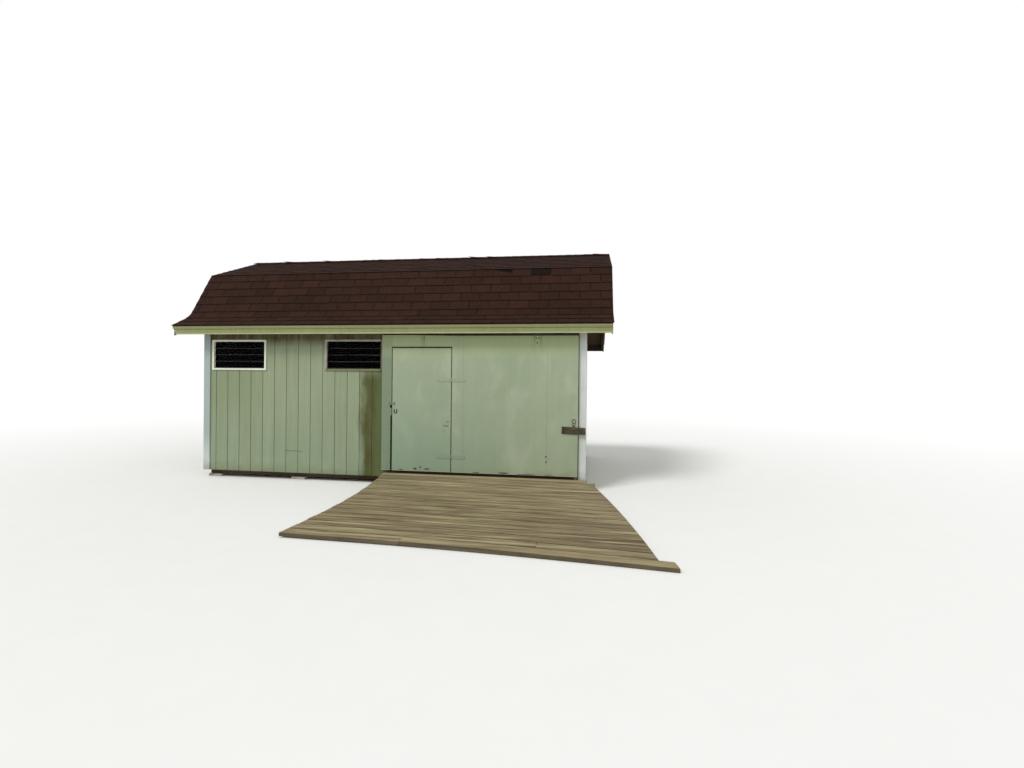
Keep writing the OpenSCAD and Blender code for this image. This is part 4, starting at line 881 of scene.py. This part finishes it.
class Growth(Nodes):
    """A geometry tree with named inputs, and what it makes from them."""

    def __init__(self, name, inputs):
        super().__init__(bpy.data.node_groups.new(name, "GeometryNodeTree"))
        face = self.tree.interface
        face.new_socket(name="Geometry", in_out="OUTPUT", socket_type="NodeSocketGeometry")
        self.named = {}
        for label, value in {"Geometry": None, "Material": None, **inputs}.items():
            number = "Int" if isinstance(value, int) else "Float"
            kind = "NodeSocket" + (label if value is None else number)
            socket = face.new_socket(name=label, in_out="INPUT", socket_type=kind)
            if value is not None:
                socket.default_value = value
            self.named[label] = socket.identifier
        self.given = self.add("NodeGroupInput")

    def index(self):
        return self.add("GeometryNodeInputIndex")[0]

    def here(self):
        return self.split(self.add("GeometryNodeInputPosition")[0])

    def random(self, low, high, salt=0.0):
        """A random value for each point, from the tree's seed and a salt of its own."""
        inputs = {2: low, 3: high, "Seed": self.given["Seed"] + salt}
        return self.add("FunctionNodeRandomValue", inputs, data_type="FLOAT")[1]

    def points(self, count, position):
        return self.add("GeometryNodePoints", {"Count": count, "Position": position})[0]

    def block(self, size, across, along, up):
        inputs = {"Size": size, "Vertices X": across, "Vertices Y": along, "Vertices Z": up}
        return self.add("GeometryNodeMeshCube", inputs)[0]

    def stand(self, points, shape, **turned):
        """A real copy of the shape on every point."""
        inputs = {"Points": points, "Instance": shape, **turned}
        copies = self.add("GeometryNodeInstanceOnPoints", inputs)[0]
        return self.add("GeometryNodeRealizeInstances", {"Geometry": copies})[0]

    def without(self, geometry, chosen):
        return self.add("GeometryNodeDeleteGeometry", {"Geometry": geometry, "Selection": chosen})[0]

    def along(self, line, length):
        """Place and direction on a line, at a length from its start."""
        curve = self.add("GeometryNodeMeshToCurve", {0: line})[0]
        made = self.add("GeometryNodeSampleCurve", {"Curves": curve, "Length": length}, mode="LENGTH")
        return made["Position"], made["Tangent"]

    def store(self, geometry, **values):
        """Keeps named values on the points, for later steps and for the finishes."""
        kind = "GeometryNodeStoreNamedAttribute"
        for name, value in values.items():
            inputs = {"Geometry": geometry, "Name": name, "Value": value}
            geometry = self.add(kind, inputs, data_type="FLOAT", domain="POINT")[0]
        return geometry

    def read(self, name):
        return self.add("GeometryNodeInputNamedAttribute", {"Name": name}, data_type="FLOAT")[0]

    def close(self, geometry, position=None):
        """Moves the points to their place, and ends the tree with flat faces and the material."""
        if position is not None:
            inputs = {"Geometry": geometry, "Position": position}
            geometry = self.add("GeometryNodeSetPosition", inputs)[0]
        flat = self.add("GeometryNodeSetShadeSmooth", {"Geometry": geometry, "Shade Smooth": False})[0]
        inputs = {"Geometry": flat, "Material": self.given["Material"]}
        self.add("NodeGroupOutput", {0: self.add("GeometryNodeSetMaterial", inputs)[0]})
        return self

    def grow(self, name, body, slot, values, base, stands_for=(), turned=False):
        """Runs the tree on base, keeps the plain mesh and puts it on its body."""
        holder = new_object(name + "_base", base)
        modifier = holder.modifiers.new("grow", "NODES")
        modifier.node_group = self.tree
        for label, value in values.items():
            modifier[self.named[label]] = value
        modifier[self.named["Material"]] = FINISHES[slot]
        graph = bpy.context.evaluated_depsgraph_get()
        graph.update()
        made = bpy.data.meshes.new_from_object(holder.evaluated_get(graph))
        made.name = name
        bpy.data.objects.remove(holder)
        put(name, made, body, stands_for, turned)


def pick(share, a, b):
    """The value a where the share is zero, b where it is one."""
    return (1.0 - share) * a + share * b


# The roof: slope lines, underlay, shingle courses and ridge caps


def upper_line(reach=0.012):
    """The upper front slope from its lower edge to the ridge, as (s, z)."""
    return [(BREAK_S + reach, BREAK_Z - reach * math.tan(UPPER_PITCH)), (0.0, RIDGE_Z)]


def lower_line(pieces=10):
    """The lower front slope from the eave to the break, with the flare's curve, as (s, z)."""
    edge = EAVE_S + SHINGLE_LIP
    line = [(edge, TURN_Z - (edge - TURN_S) * math.tan(KICK_PITCH))]
    radius = FLARE / math.tan((LOWER_PITCH - KICK_PITCH) / 2)
    middle_s = TURN_S + FLARE * math.cos(KICK_PITCH) + radius * math.sin(KICK_PITCH)
    middle_z = TURN_Z - FLARE * math.sin(KICK_PITCH) + radius * math.cos(KICK_PITCH)
    for i in range(pieces + 1):
        pitch = KICK_PITCH + (LOWER_PITCH - KICK_PITCH) * i / pieces
        line.append((middle_s - radius * math.sin(pitch), middle_z - radius * math.cos(pitch)))
    return line + [(BREAK_S, BREAK_Z)]


def line_mesh(name, line):
    """A slope line as a row of edges in the plane x = 0, on the front side."""
    return new_mesh(name, [(0, -s, z) for s, z in line], [(i, i + 1) for i in range(len(line) - 1)])


def sheet_mesh(name, line, x_half, over, under):
    """A closed sheet that follows a slope line, between two depths below it."""
    rows = []
    for depth in (over, under):
        row = []
        for i, (s, z) in enumerate(line):
            before, after = line[max(i - 1, 0)], line[min(i + 1, len(line) - 1)]
            pitch = math.atan2(after[1] - before[1], before[0] - after[0])
            row.append((s - depth * math.sin(pitch), z - depth * math.cos(pitch)))
        rows.append(row)
    outline = rows[0] + rows[1][::-1]
    count = len(outline)
    corners = [(x, -s, z) for x in (-x_half, x_half) for s, z in outline]
    faces = [(i, (i + 1) % count, (i + 1) % count + count, i + count) for i in range(count)]
    rungs = range(len(line) - 1)
    faces += [(i, i + 1, count - 2 - i, count - 1 - i) for i in rungs]
    faces += [(i + count, 2 * count - 1 - i, 2 * count - 2 - i, i + 1 + count) for i in rungs]
    mesh = new_mesh(name, corners, (), faces)
    shape = bmesh.new()
    shape.from_mesh(mesh)
    bmesh.ops.recalc_face_normals(shape, faces=shape.faces)
    shape.to_mesh(mesh)
    shape.free()
    return mesh


def shingle_growth():
    """Courses of three-tab shingles on a slope line, each tab a thin wedge that laps the one below."""
    g = Growth("Shingle courses", {
        "Courses": 8, "Tabs": 25, "Length": 1.3, "Pitch": 0.305, "Shift": 0.0, "Slot": 0.009, "Lap": 0.05,
        "Left": -3.4, "Right": 3.4, "Depth": 0.0083, "Butt": 0.0042, "Thick": 0.0041, "Tail": 0.0022,
        "Curl": 0.006, "Seed": 0, "Gone course": -1, "Gone from": 0.0, "Gone to": 0.0,
    })
    given = g.given
    left, right, length, thick_end = given["Left"], given["Right"], given["Length"], given["Butt"]
    index = g.index()
    course = index // given["Tabs"]
    tab = index - course * given["Tabs"]
    exposure = length / given["Courses"]
    tab_length = exposure + given["Lap"]
    middle = left + given["Shift"] + (tab - course % 2.0 * 0.5) * given["Pitch"] + g.random(-0.003, 0.003)
    row = course * exposure + g.random(-0.003, 0.003, 1)
    points = g.store(
        g.points(given["Courses"] * given["Tabs"], g.join(middle, row)),
        middle=middle, row=row, tone=g.random(0.0, 1.0, 2), curl=given["Curl"] * g.random(0.0, 1.0, 3) ** 4.0,
    )
    half = given["Pitch"] * 0.5
    in_gap = (middle > given["Gone from"]) * (middle < given["Gone to"])
    gone = course.near(given["Gone course"], 0.1) * in_gap
    outside = (middle + half < left) + (middle - half > right)
    shape = g.block(g.join(given["Pitch"] - given["Slot"], tab_length, 1.0), 4, 5, 2)
    tabs = g.stand(g.without(points, gone + outside > 0.5), shape)

    x, y, z = g.here()
    row = g.read("row")
    share = (y - row + tab_length * 0.5) / tab_length
    aside = (x - g.read("middle")) / half
    ragged = (g.noise(g.join(x * 9.0, row, 3.0), 3.0, 2) - 0.5) * 0.012 * (1.0 - share)
    reach = g.most(g.least(row + share * tab_length + ragged, length - 0.001), 0.0)
    under = share.between(0, 1, thick_end, 0.0002)
    over = share.between(0, 1, thick_end + given["Thick"], given["Tail"])
    curl = g.read("curl") * aside * aside * share.between(0, 0.4, 1, 0)
    rise = under + (z > 0.0) * (over - under) + curl - given["Depth"]
    place, direction = g.along(given["Geometry"], reach)
    outward = g.vector("CROSS_PRODUCT", (1, 0, 0), direction)[0]
    raised = g.add("ShaderNodeVectorMath", {0: outward, "Scale": rise}, operation="SCALE")[0]
    place = g.vector("ADD", g.vector("ADD", place, raised)[0], g.join(g.least(g.most(x, left), right)))[0]
    return g.close(g.store(tabs, share=share, aside=abs(aside)), place)


def ridge_growth():
    """Caps folded over the ridge, each lapping the one before, a few of them lifted."""
    g = Growth("Ridge caps", {
        "Caps": 42, "Left": -3.4, "Right": 3.4, "Cap": 0.29, "Flap": 0.155, "Slope": 0.38, "Ridge": 3.87,
        "Thick": 0.0045, "Butt": 0.005, "Round": 0.03, "Lift": 0.03, "Sag": 0.01, "Seed": 0,
    })
    given = g.given
    cap, fold = given["Cap"], given["Round"]
    start = given["Left"] + g.index() * ((given["Right"] - given["Left"] - cap) / (given["Caps"] - 1))
    points = g.store(
        g.points(given["Caps"], g.join(start)), start=start, tone=g.random(0.5, 1.4, 1),
        lift=given["Lift"] * g.random(0.0, 1.0, 2) ** 5.0, turn=g.random(-1.0, 1.0, 3),
    )
    caps = g.stand(points, g.block(g.join(cap, 2.0, 1.0), 5, 13, 2))

    x, y, z = g.here()
    share = (x - g.read("start")) / cap + 0.5
    length = g.read("start") + share * cap
    turn = g.read("turn")
    across = y * (given["Flap"] * (1.0 + turn * 0.05)) + (share - 0.5) * turn * 0.014
    fall = (g.math("SQRT", across * across + fold * fold) - fold) * given["Slope"]
    height = given["Butt"] * (1.0 - share) + (z > 0.0) * given["Thick"]
    lift = g.read("lift") * share.between(0, 0.6, 1, 0) * (0.4 + y * y)
    wave = (g.noise(g.join(length * 0.9), 1.0, 2) - 0.5) * given["Sag"]
    place = g.join(length, across * 0.94, given["Ridge"] - fall + height + lift + wave)
    return g.close(g.store(caps, share=share), place)


def lay_roof():
    """Underlay, shingle tabs on the four slopes, and ridge caps."""
    shingles = shingle_growth()
    for where, line, courses, shift in [("lower", lower_line(), 8, 0.1), ("upper", upper_line(), 9, -0.13)]:
        for side, seed in [("front", 3), ("back", 11)]:
            values = {
                "Courses": courses, "Length": sum(math.dist(a, b) for a, b in zip(line, line[1:])),
                "Shift": shift, "Left": -SHINGLE_X, "Right": SHINGLE_X, "Depth": SHINGLE_DEPTH, "Seed": seed,
            }
            if (where, side) == ("lower", "front"):
                values |= {"Gone course": courses - 1, "Gone from": GONE_LEFT, "Gone to": GONE_RIGHT}
            shingles.grow(
                f"{side}_{where}_tabs", "building", "shingles", values, line_mesh("slope", line),
                [f"{side}_{where}_shingles"], side == "back",
            )
            name = f"{side}_{where}_underlay"
            sheet = sheet_mesh(name, line, SHINGLE_X - 0.01, SHINGLE_DEPTH - 0.0015, SHINGLE_DEPTH - 0.0003)
            sheet.materials.append(FINISHES["felt"])
            put(name, sheet, "building", turned=side == "back")
    sizes = {
        "Left": -SHINGLE_X, "Right": SHINGLE_X, "Slope": math.tan(UPPER_PITCH), "Ridge": RIDGE_Z - 0.004,
        "Seed": 5,
    }
    ridge_growth().grow("ridge_caps", "building", "shingles", sizes, new_mesh("ridge", []), ["ridge_cap"])


# The ramp's boards


def ramp_growth():
    """Boards on a slope: one along the wall, one cut to a taper, the rest askew and slightly bowed."""
    g = Growth("Ramp boards", RAMP)
    given = g.given
    length, thick, slope = given["Length"], given["Thick"], given["Slope"]
    index = g.index()
    row = index // 2.0
    second = index - row * 2.0
    pitch = given["Width"] + given["Gap"]
    points = g.store(
        g.points(given["Rows"] * 2, g.join(index)), row=row, second=second, start=index,
        board=g.random(0.0, 9.0), tone=g.random(0.0, 1.0, 1), cup=g.random(-0.4, 1.0, 2),
        drop=g.random(-0.0015, 0.0, 3),
    )

    def joints(row):
        return row.near(given["Joint row"], 0.1), row.near(given["Second joint row"], 0.1)

    here, there = joints(row)
    points = g.without(points, second * (here + there < 0.5))
    boards = g.stand(points, g.block((0.9, 1.0, 1.0), 34, 8, 2))

    x, y, z = g.here()
    row = g.read("row")
    second = g.read("second")
    far = (x - g.read("start") + 0.45) / 0.9
    near_edge = g.sine(y * math.pi) * 0.5 + 0.5
    taper = row.near(1.0, 0.1)
    beyond = row > 1.5
    back = g.least(row, 1.0) * pitch + g.most(row - 2.0, 0.0) * pitch + beyond * given["Wide gap"] * 2.0
    reach = back + near_edge * pick(taper, given["Width"], given["Wide gap"])
    down = reach / length
    wander = g.sine(row * math.radians(137) + math.radians(40)) * given["Wander"]
    left = given["Left"] + beyond * (given["Left bow"] * g.sine(down * math.pi) + wander)
    run = g.least((beyond * reach + taper * pitch) / length, 1.0)
    skewed = given["Right shift"] + given["Flare"] * run + given["Right bow"] * g.sine(run * math.pi)
    foot = (row > given["Rows"] - 1.5) * given["Foot reach"]
    right = given["Right"] + g.most(taper, beyond) * skewed + foot
    here, there = joints(row)
    joint = here * given["Joint"] + there * given["Second joint"]
    start = pick(second, left, joint + given["Joint gap"])
    end = pick(second, pick(here + there, right, joint), right)
    along = start + far * (end - start)

    span = given["Right"] + given["Right shift"] + given["Flare"] - given["Left"]
    from_left = along - given["Left"]
    askew = from_left * given["Skew"] - given["Bow"] * down * g.sine(from_left / span * math.pi)
    distance = reach + askew * g.math("ADD", row - 1.0, near_edge, clamp=True)
    side = near_edge * 2.0 - 1.0
    hollow = g.read("cup") * given["Cup"] * (side * side - 1.0)
    top = hollow + g.read("drop") - given["Edge"] * abs(side) ** 14.0
    height = (z > 0.0) * (top + thick) - thick
    level = g.math("COSINE", g.math("ARCSINE", slope))
    out = given["Back"] - distance * level - height * slope
    up = given["Top"] - distance * slope + height * level
    return g.close(g.store(boards, edge=abs(side)), g.join(along, out, up))


def lay_ramp():
    """The ramp's boards, in place of the plain ones."""
    base = new_mesh("ramp", [])
    ramp_growth().grow("ramp_planks", "building", "weathered_deck", RAMP, base, ["ramp_boards"])


# Nail heads, screws and bolts


def nail_growth():
    """Low round heads on points, all facing one way, each a little different in size."""
    g = Growth("Nail heads", {"Radius": 0.005, "Rise": 0.0015, "Turn X": 0.0, "Turn Z": 0.0, "Seed": 0})
    given = g.given
    cone = {
        "Vertices": 8, "Side Segments": 1, "Fill Segments": 1, "Radius Top": 0.55, "Radius Bottom": 1.0,
        "Depth": 1.3,
    }
    head = g.add("GeometryNodeMeshCone", cone, fill_type="NGON")[0]
    sunk = g.join(z=given["Rise"] * -0.3)
    size = g.join(given["Radius"], given["Radius"], given["Rise"])
    shaped = g.add("GeometryNodeTransform", {"Geometry": head, "Translation": sunk, "Scale": size})[0]
    points = g.add("GeometryNodeMeshToPoints", {"Mesh": given["Geometry"]})[0]
    points = g.store(points, tone=g.random(0.0, 1.0))
    spread = g.random(0.85, 1.15, 1)
    turn = g.join(given["Turn X"], 0.0, given["Turn Z"])
    return g.close(g.stand(points, shaped, Rotation=turn, Scale=g.join(spread, spread, 1.0)))


def steps(start, end, pitch):
    """Evenly spaced values from start to end, about a pitch apart."""
    count = max(1, round((end - start) / pitch))
    return [start + (end - start) * i / count for i in range(count + 1)]


def roof_over(s):
    """Height of the roof's outer line over a distance from the ridge's plane."""
    return min(RIDGE_Z - s * math.tan(UPPER_PITCH), BREAK_Z - (s - BREAK_S) * math.tan(LOWER_PITCH))


def framed(x, z):
    """Whether a window covers a place on the front wall."""
    beside = any(left - 0.02 < x < right + 0.02 for left, right in WINDOWS)
    return beside and WINDOW_LOW - 0.02 < z < WINDOW_HIGH + 0.02


# For each wall: how far out it stands, and its nails as (distance along the wall, height)


def wall_nails():
    """Beside every second groove of the siding."""
    low, beside, pitch = SIDING_BOTTOM + 0.03, 0.022, 0.26
    columns = [GROOVE_START + 2 * GROOVE_PITCH * i + beside for i in range(15)]
    long = list(product(columns, steps(low, 2.2, pitch)))
    front = [(x, z) for x, z in long if x < LEAF_LOW.x - 0.01 and not framed(x, z)]
    middles = [2 * GROOVE_PITCH * i + beside for i in range(-4, 5)]
    gable = WALL_X, [(y, z) for y in middles for z in steps(low, roof_over(abs(y)) - 0.2, pitch)]
    return {"front": (WALL_Y, front), "right": gable, "back": (WALL_Y, long), "left": gable}


def trim_nails():
    """Two in every row, on both faces of the four corner trims."""
    rows = list(product(steps(SIDING_BOTTOM + 0.05, TRIM_HIGH.z - 0.05, 0.4), (0.02, 0.072), (-1, 1)))
    long = TRIM_HIGH.y, [(side * (TRIM_HIGH.x - inset), z) for z, inset, side in rows]
    gable = TRIM_HIGH.x, [(side * (TRIM_HIGH.y - inset), z) for z, inset, side in rows]
    return {"front": long, "right": gable, "back": long, "left": gable}


def fascia_nails():
    """Two at every rafter's end, in the boards under the eaves."""
    columns = steps(FASCIA_LOW.x + 0.02, FASCIA_HIGH.x - 0.02, 0.56)
    places = list(product(columns, (FASCIA_LOW.z + 0.03, FASCIA_HIGH.z - 0.062)))
    return dict.fromkeys(("front", "back"), (FASCIA_HIGH.y - 0.012, places))


def rake_nails():
    """Down the middle of the rake boards, along both slopes."""
    slopes = [(0.06, BREAK_S - 0.1), (BREAK_S + 0.02, TURN_S - 0.12)]
    rows = [s for low, high in slopes for s in steps(low, high, 0.28 * (high - low))]
    places = [(side * s, roof_over(s) - 0.1) for s, side in product(rows, (-1, 1))]
    return dict.fromkeys(("right", "left"), (RAKE_HIGH.x, places))


def leaf_screws():
    """Round the leaf's sheets and up both sides of their seams."""
    low, high = LEAF_BOTTOM + 0.03, LEAF_TOP - 0.03
    seams = [seam + side for seam in LEAF_SEAMS for side in (-0.02, 0.02)]
    heights = steps(low, high, 0.29)
    places = [
        *product((WICKET_RIGHT + 0.05, *seams, LEAF_RIGHT - 0.027), heights),
        *product(steps(1.32, 2.42, 0.27), (low, high)),
        *product(steps(0.05, 0.95, 0.3), (high,)),
        *product((LEAF_LOW.x + 0.03, WICKET_LEFT - 0.04), heights),
    ]
    return {"front": (-LEAF_FACE, places)}


def wicket_screws():
    """Round the small door's sheet."""
    low, high = LEAF_BOTTOM + 0.03, WICKET_TOP - 0.03
    left, right = WICKET_LEFT + 0.03, WICKET_RIGHT - 0.03
    sides = product((left, right), steps(low, high, 0.3))
    ends = product(steps(left, right, 0.27)[1:-1], (low, high))
    return {"front": (-LEAF_FACE, [*sides, *ends])}


def strap_bolts(side):
    """Three in each strap, on one side of the hinge line."""
    places = [(HINGE_X + side * reach, z) for z, reach in product(HINGE_HEIGHTS, STRAP_BOLTS)]
    return {"front": (0.0042 - LEAF_FACE, places)}


def ramp_screws():
    """Points for two screws in every ramp board over each stringer."""
    slope = RAMP["Slope"]
    places = []
    for row, x, share in product(range(2, RAMP["Rows"]), RAMP_STRINGERS, (0.22, 0.78)):
        back = (RAMP["Width"] + RAMP["Gap"]) * (row - 1) + 2 * RAMP["Wide gap"] + RAMP["Width"] * share
        down = back / RAMP["Length"]
        along = x - RAMP["Left"]
        bow = RAMP["Bow"] * down * math.sin(math.pi * along / RAMP_SPAN)
        distance = back + RAMP["Skew"] * along - bow
        if x < RAMP["Right"] + RAMP["Right shift"] + RAMP["Flare"] * down - 0.05:
            y = RAMP["Back"] - distance * math.cos(math.asin(slope))
            places.append((x, y, RAMP["Top"] - distance * slope - 0.0012))
    return places


def drive_nails():
    """All nail heads, one piece for each body, kind and wall."""
    heads = nail_growth()
    facing = {"front": 0, "right": 90, "back": 180, "left": -90}
    for seed, (name, body, slot, walls, radius, rise) in enumerate([
        ("siding_nails", "building", "painted_iron", wall_nails(), 0.0045, 0.0012),
        ("trim_nails", "building", "galvanised_steel", trim_nails(), 0.004, 0.001),
        ("fascia_nails", "building", "galvanised_steel", fascia_nails(), 0.004, 0.001),
        ("rake_nails", "building", "galvanised_steel", rake_nails(), 0.004, 0.001),
        ("leaf_screws", "sliding_leaf", "painted_iron", leaf_screws(), 0.004, 0.0008),
        ("wicket_screws", "wicket", "painted_iron", wicket_screws(), 0.004, 0.0008),
        ("leaf_strap_bolts", "sliding_leaf", "painted_iron", strap_bolts(1), 0.008, 0.004),
        ("wicket_strap_bolts", "wicket", "painted_iron", strap_bolts(-1), 0.008, 0.004),
    ], 1):
        for way, (reach, places) in walls.items():
            if way in ("left", "right"):
                points = [(reach if way == "right" else -reach, y, z) for y, z in places]
            else:
                points = [(x, reach if way == "back" else -reach, z) for x, z in places]
            turns = {"Turn X": math.radians(90), "Turn Z": math.radians(facing[way])}
            sizes = {"Radius": radius, "Rise": rise, "Seed": seed, **turns}
            heads.grow(f"{name}_{way}", body, slot, sizes, new_mesh(name, points))
    sizes = {"Radius": 0.004, "Rise": 0.001, "Turn X": math.asin(RAMP["Slope"]), "Seed": 9}
    heads.grow("ramp_screws", "building", "galvanised_steel", sizes, new_mesh("ramp_screws", ramp_screws()))


# Camera, floor and light

CAMERA_PLACE = (3.0605, -9.1320, 1.5800)
CAMERA_YAW, CAMERA_PITCH, CAMERA_ROLL = (math.radians(a) for a in (8.523, -0.269, 0.610))
FOCAL_PIXELS = 503.6
PHOTO_WIDTH_PIXELS = 1024
SENSOR = 36
FLOOR_REACH = 120


def place_camera():
    """The camera stands where the photograph was taken from."""
    camera = new_object("camera", bpy.data.cameras.new("camera"))
    camera.data.sensor_width = SENSOR
    camera.data.lens = FOCAL_PIXELS / PHOTO_WIDTH_PIXELS * SENSOR
    camera.data.clip_end = 500
    place = Matrix.Translation(CAMERA_PLACE)
    for angle, axis in [(CAMERA_YAW, "Z"), (math.radians(90) + CAMERA_PITCH, "X"), (CAMERA_ROLL, "Z")]:
        place = place @ Matrix.Rotation(angle, 4, axis)
    camera.matrix_world = place
    bpy.context.scene.camera = camera


def add_floor():
    """A wide pale floor."""
    corners = [(x * FLOOR_REACH, y * FLOOR_REACH, 0) for x, y in ((-1, -1), (1, -1), (1, 1), (-1, 1))]
    floor = new_object("floor", new_mesh("floor", corners, (), [(0, 1, 2, 3)]))
    floor.data.materials.append(finish("pale floor", pale_floor))


def add_light():
    """Soft light from all round, a little stronger from the front left."""
    world = bpy.data.worlds.new("studio")
    bpy.context.scene.world = world
    world.use_nodes = True
    n = Nodes(world.node_tree)
    sky = world.node_tree.nodes["Background"].inputs
    path = n.add("ShaderNodeLightPath")
    seen = n.most(*(path[f"Is {kind} Ray"] for kind in ("Glossy", "Transmission", "Camera")))
    n.feed(sky["Color"], (1, 1, 1, 1))
    n.feed(sky["Strength"], seen * 0.45 + 0.55)
    for name, turn, power, width in [("key", (44, 0, -36), 1.9, 20), ("fill", (64, 0, 50), 0.4, 60)]:
        lamp = bpy.data.lights.new(name, "SUN")
        lamp.energy = power
        lamp.angle = math.radians(width)
        new_object(name, lamp).rotation_euler = [math.radians(a) for a in turn]


# The scene

bpy.context.scene.view_settings.view_transform = "Standard"
place_camera()
add_floor()
add_light()
dress_cad_nodes()
lay_roof()
lay_ramp()
drive_nails()
